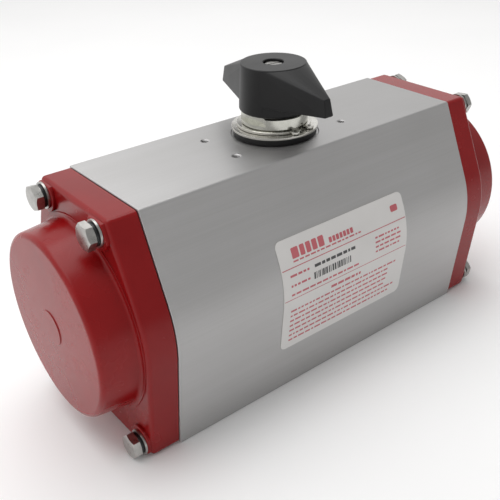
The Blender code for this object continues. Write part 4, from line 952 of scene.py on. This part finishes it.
def make_stop(name):
    """A set screw with a hexagon socket, its lock nut and the sealing washer under it."""
    low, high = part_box(f"stop_screw_{name}")
    middle = (low + high) / 2
    place = facing((0, 1, 0), (middle.x, 0.0, middle.z))
    radius = BOLT_RADIUS
    rings = [(0.0, high.y), (radius - 0.7 * MM, high.y), (radius, high.y - 0.7 * MM)]
    turns = int((high.y - low.y - 6.0 * MM) / BOLT_PITCH)
    for turn in range(turns):
        height = high.y - 0.7 * MM - turn * BOLT_PITCH
        rings += [(radius - 0.65 * MM, height - BOLT_PITCH / 2), (radius, height - BOLT_PITCH)]
    rings += [(radius - MM, low.y + 3 * MM), (radius - MM, low.y + 0.3 * MM),
              (radius - 1.3 * MM, low.y), (0.0, low.y)]
    screw = solid(skin(bmesh.new(), rings, place, 48), f"stop_screw_{name}_fine")
    socket = hexagon(4.0 * MM)
    rings = [(0.0, high.y + MM), (socket, high.y + MM), (socket, high.y - 5 * MM), (0.0, high.y - 6 * MM)]
    combine(screw, skin(bmesh.new(), rings, place, 48))
    stand_for(screw, f"stop_screw_{name}", 25.0)

    low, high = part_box(f"stop_seal_{name}")
    seal = ring(low.y, high.y, BOLT_HOLE_RADIUS, STOP_SEAL_RADIUS, 0.3 * MM, 72, place)
    stand_for(solid(seal, f"stop_seal_{name}_fine"), f"stop_seal_{name}")

    low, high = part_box(f"stop_nut_{name}")
    across = HEX_ACROSS_FLATS
    reach, flat = hexagon(across), across / 2 - 0.5 * MM
    hole, mouth = BOLT_HOLE_RADIUS, radius + 0.8 * MM
    rings = [(mouth, high.y), (flat - 0.2 * MM, high.y), (reach, bevelled(across, flat, high.y)),
             (reach, bevelled(across, flat, low.y, -1)), (flat - 0.2 * MM, low.y), (mouth, low.y),
             (hole, low.y + 0.5 * MM), (hole, high.y - 0.5 * MM)]
    nut = solid(skin(bmesh.new(), rings, place, 72, True), f"stop_nut_{name}_fine")
    stand_for(nut, f"stop_nut_{name}", 25.0)


# ---------------------------------------------------------------- name plate

def wall_stations():
    """Points up the front wall with their distance along it, from the bottom corner."""
    bottom, side, top = half_wall(0.0)
    stations, travelled, last = [], 0.0, bottom
    for point in (bottom, *side, top):
        travelled += hypot(point[0] - last[0], point[1] - last[1])
        stations.append((travelled, *point))
        last = point
    return stations


STATIONS = wall_stations()


def climb(height):
    """Distance along the front wall at a height over the floor."""
    z = height - AXIS_Z
    for (s0, _, z0), (s1, _, z1) in zip(STATIONS, STATIONS[1:]):
        if z0 <= z <= z1:
            return s0 + (s1 - s0) * (z - z0) / (z1 - z0)
    return STATIONS[-1][0]


def on_wall(x, s, out):
    """The point at distance s along the front wall, moved out from it."""
    for index in range(len(STATIONS) - 1):
        (s0, y0, z0), (s1, y1, z1) = STATIONS[index], STATIONS[index + 1]
        if s <= s1 or index == len(STATIONS) - 2:
            t = (s - s0) / (s1 - s0)
            normals = []
            for station in (index, index + 1):
                before = STATIONS[max(station - 1, 0)]
                after = STATIONS[min(station + 1, len(STATIONS) - 1)]
                normals.append(Vector((after[2] - before[2], before[1] - after[1])).normalized())
            normal = normals[0].lerp(normals[1], t)
            y, z = y0 + (y1 - y0) * t + normal[0] * out, z0 + (z1 - z0) * t + normal[1] * out
            return Vector((x, -y, AXIS_Z + z))


def wrap(shapes, name, back, front):
    """Flat shapes in X and distance up the wall, bent round it as thin closed sheets."""
    flat = bmesh.new()
    for shape in shapes:
        flat.faces.new([flat.verts.new((x, s, 0.0)) for x, s in shape])
    for s, *_ in STATIONS:
        geom = [*flat.verts, *flat.edges, *flat.faces]
        bmesh.ops.bisect_plane(flat, geom=geom, plane_co=(0, s, 0), plane_no=(0, 1, 0), dist=1e-7)
    bm = bmesh.new()
    pairs = {v: [bm.verts.new(on_wall(v.co.x, v.co.y, out)) for out in (back, front)] for v in flat.verts}
    for face in flat.faces:
        bm.faces.new([pairs[v][1] for v in face.verts])
        bm.faces.new([pairs[v][0] for v in reversed(face.verts)])
    for edge in flat.edges:
        if len(edge.link_faces) == 1:
            a, b = edge.verts
            bm.faces.new((pairs[a][0], pairs[b][0], pairs[b][1], pairs[a][1]))
    flat.free()
    return solid(bm, name)


def panel(x0, x1, s0, s1, radius=0.2 * MM, steps=2):
    return softened([(x0, s0), (x1, s0), (x1, s1), (x0, s1)], radius, steps, True)


def dashes(draws, x0, x1, s, height, longest=5.0 * MM):
    """A row of short bars of unlike lengths, which stands for a line of small print."""
    bars, x = [], x0
    while x < x1 - 1.5 * MM:
        length = min(draws.uniform(1.2 * MM, longest), x1 - x)
        bars.append(panel(x, x + length, s, s + height, 0.15 * MM, 1))
        x += length + 0.9 * MM
    return bars


def plate_marks(left, right, bottom, top):
    """Generic marks: a heavy header, rules, rows of small bars and a block of stripes."""
    draws = random.Random(20)
    red, dark = [], []
    width = right - left
    header = top - 13.0 * MM
    x = left + 0.09 * width
    for length in (5.0, 3.4, 3.4, 3.6, 4.2):
        red.append(panel(x, x + length * MM, header + 0.8 * MM, header + 7.0 * MM, 0.6 * MM, 3))
        x += (length + 1.1) * MM
    x += 2.5 * MM
    for length in (2.2, 2.0, 2.2, 2.0, 2.2, 2.0, 2.2):
        red.append(panel(x, x + length * MM, header + 0.8 * MM, header + 4.0 * MM, 0.3 * MM, 2))
        x += (length + 0.7) * MM
    red += dashes(draws, left + 0.09 * width, left + 0.62 * width, header - 1.2 * MM, 0.9 * MM, 4.0 * MM)
    red.append(panel(right - 11 * MM, right - 5 * MM, header + 2.5 * MM, header + 6.5 * MM, 1.0 * MM, 3))
    red.append(panel(left, right, header - 4.0 * MM, header - 3.5 * MM, 0.1 * MM, 1))
    red += dashes(draws, left + 5 * MM, left + 19 * MM, header - 9.0 * MM, 1.3 * MM)
    dark += dashes(draws, left + 23 * MM, left + 56 * MM, header - 9.2 * MM, 1.8 * MM)
    red += dashes(draws, left + 5 * MM, left + 19 * MM, header - 15.0 * MM, 1.3 * MM)
    stripe = left + 22 * MM
    while stripe < left + 51 * MM:
        breadth = draws.choice((0.5, 0.8, 1.2)) * MM
        dark.append(panel(stripe, stripe + breadth, header - 16.2 * MM, header - 12.0 * MM, 0.05 * MM, 1))
        stripe += breadth + draws.choice((0.4, 0.6, 0.9)) * MM
    for row in range(4):
        red += dashes(draws, right - 27 * MM, right - 5 * MM, header - (9.0 + row * 3.0) * MM, 1.1 * MM)
    red.append(panel(left, right, header - 23.0 * MM, header - 22.6 * MM, 0.1 * MM, 1))
    red += dashes(draws, left + 5 * MM, right - 40 * MM, header - 20.6 * MM, 1.2 * MM)
    red += dashes(draws, left + 0.36 * width, left + 0.62 * width, header - 28.0 * MM, 1.8 * MM)
    row = header - 32.0 * MM
    while row > bottom + 5 * MM:
        red += dashes(draws, left + 5 * MM, right - draws.uniform(5, 16) * MM, row, 1.2 * MM)
        row -= 3.6 * MM
    return red, dark


def make_name_plate():
    """The film on the front wall, and its two colours of print."""
    left, right = PLATE_LOW.x, PLATE_HIGH.x
    bottom, top = climb(PLATE_LOW.z), climb(PLATE_HIGH.z)
    film = wrap([panel(left, right, bottom, top, PLATE_CORNER_ROUND, 10)], "name_plate_fine", *FILM)
    stand_for(film, "name_plate")
    red, dark = plate_marks(left + 0.6 * MM, right - 0.6 * MM, bottom, top)
    show(wrap(red, "name_plate_red_print", *PRINT), "name_plate", RED_PRINT)
    show(wrap(dark, "name_plate_dark_print", *PRINT), "name_plate", DARK_PRINT)


# ---------------------------------------------------------------- studio

def make_world():
    """Pale surroundings that are dimmer to the front, above the camera's side."""
    world = bpy.data.worlds.new("studio")
    bpy.context.scene.world = world
    world.use_nodes = True
    tree = world.node_tree
    direction = node(tree, "ShaderNodeTexCoord").outputs["Generated"]
    towards = node(tree, "ShaderNodeVectorMath", {0: direction, 1: DIM_SIDE.normalized()},
                   operation="DOT_PRODUCT").outputs["Value"]
    limits = {"From Min": DIM_FROM, "From Max": DIM_TO, "To Min": WORLD_BRIGHT, "To Max": WORLD_DIM}
    level = node(tree, "ShaderNodeMapRange", {"Value": towards, **limits},
                 interpolation_type="SMOOTHSTEP").outputs["Result"]
    background = tree.nodes["Background"]
    background.inputs["Color"].default_value = (1.0, 0.995, 0.99, 1.0)
    tree.links.new(level, background.inputs["Strength"])


def area_light(name, position, target, size, power):
    """A soft rectangular light that faces a target."""
    light = bpy.data.lights.new(name, "AREA")
    light.shape = "RECTANGLE"
    light.size, light.size_y = size
    light.energy = power
    obj = bpy.data.objects.new(name, light)
    bpy.context.scene.collection.objects.link(obj)
    obj.location = position
    obj.rotation_euler = (Vector(target) - Vector(position)).to_track_quat("-Z", "Y").to_euler()


def make_floor():
    """A plain pale floor, just under the body."""
    tree = new_tree("pale_floor")
    cloud = spread(tree, grain(tree, (6.0, 6.0, 6.0)), 0.0, 1.0)
    colour = tinted(tree, cloud, (0.955, 0.955, 0.955), (0.97, 0.97, 0.97))
    rough = spread(tree, grain(tree, (60.0, 60.0, 60.0)), 0.85, 0.95)
    material = finish("pale_floor", colour, rough)
    bm = bmesh.new()
    bmesh.ops.create_grid(bm, x_segments=1, y_segments=1, size=FLOOR_HALF)
    floor = solid(bm, "floor")
    floor.location.z = -0.1 * MM
    floor.data.materials.append(material)


def make_camera():
    """A camera turned by yaw, pitch and roll."""
    data = bpy.data.cameras.new("camera")
    camera = bpy.data.objects.new("camera", data)
    bpy.context.scene.collection.objects.link(camera)
    yaw, pitch, roll = CAMERA_TURN
    forward = Vector((sin(yaw) * cos(pitch), cos(yaw) * cos(pitch), -sin(pitch)))
    level = Vector((cos(yaw), -sin(yaw), 0.0))
    up = level.cross(forward)
    right = cos(roll) * level + sin(roll) * up
    up = cos(roll) * up - sin(roll) * level
    camera.matrix_world = Matrix((
        (right.x, up.x, -forward.x, CAMERA_PLACE.x),
        (right.y, up.y, -forward.y, CAMERA_PLACE.y),
        (right.z, up.z, -forward.z, CAMERA_PLACE.z),
        (0.0, 0.0, 0.0, 1.0)))
    data.sensor_width = 36.0
    data.lens = CAMERA_LENS
    data.shift_x = CAMERA_SHIFT
    data.clip_start, data.clip_end = 0.02, 50.0
    bpy.context.scene.camera = camera


# ---------------------------------------------------------------- assembly

def finish_hidden_nodes():
    """Give each CAD mesh that still shows its slot's finish."""
    for name, obj in frame["nodes"].items():
        if not obj.hide_render:
            obj.data.materials.clear()
            obj.data.materials.append(FINISHES[SLOT_OF[name]])


def main():
    make_camera()
    make_body()
    bolt = bolt_mesh(BOLT_HEAD_HEIGHT, BOLT_LENGTH)
    for name, side in SIDES:
        make_cap(name, side)
        make_cap_fasteners(name, side, bolt)
    bpy.data.meshes.remove(bolt)
    make_pinion()
    make_rings()
    make_circlip()
    make_knob()
    make_knob_screw()
    for name in ("closed", "open"):
        make_stop(name)
    make_name_plate()
    finish_hidden_nodes()
    make_world()
    area_light("top_softbox", (-0.1, 0.25, 1.3), (0.0, 0.0, 0.07), (1.4, 1.0), 9.0)
    make_floor()
    bpy.context.scene.view_settings.view_transform = "Standard"


main()
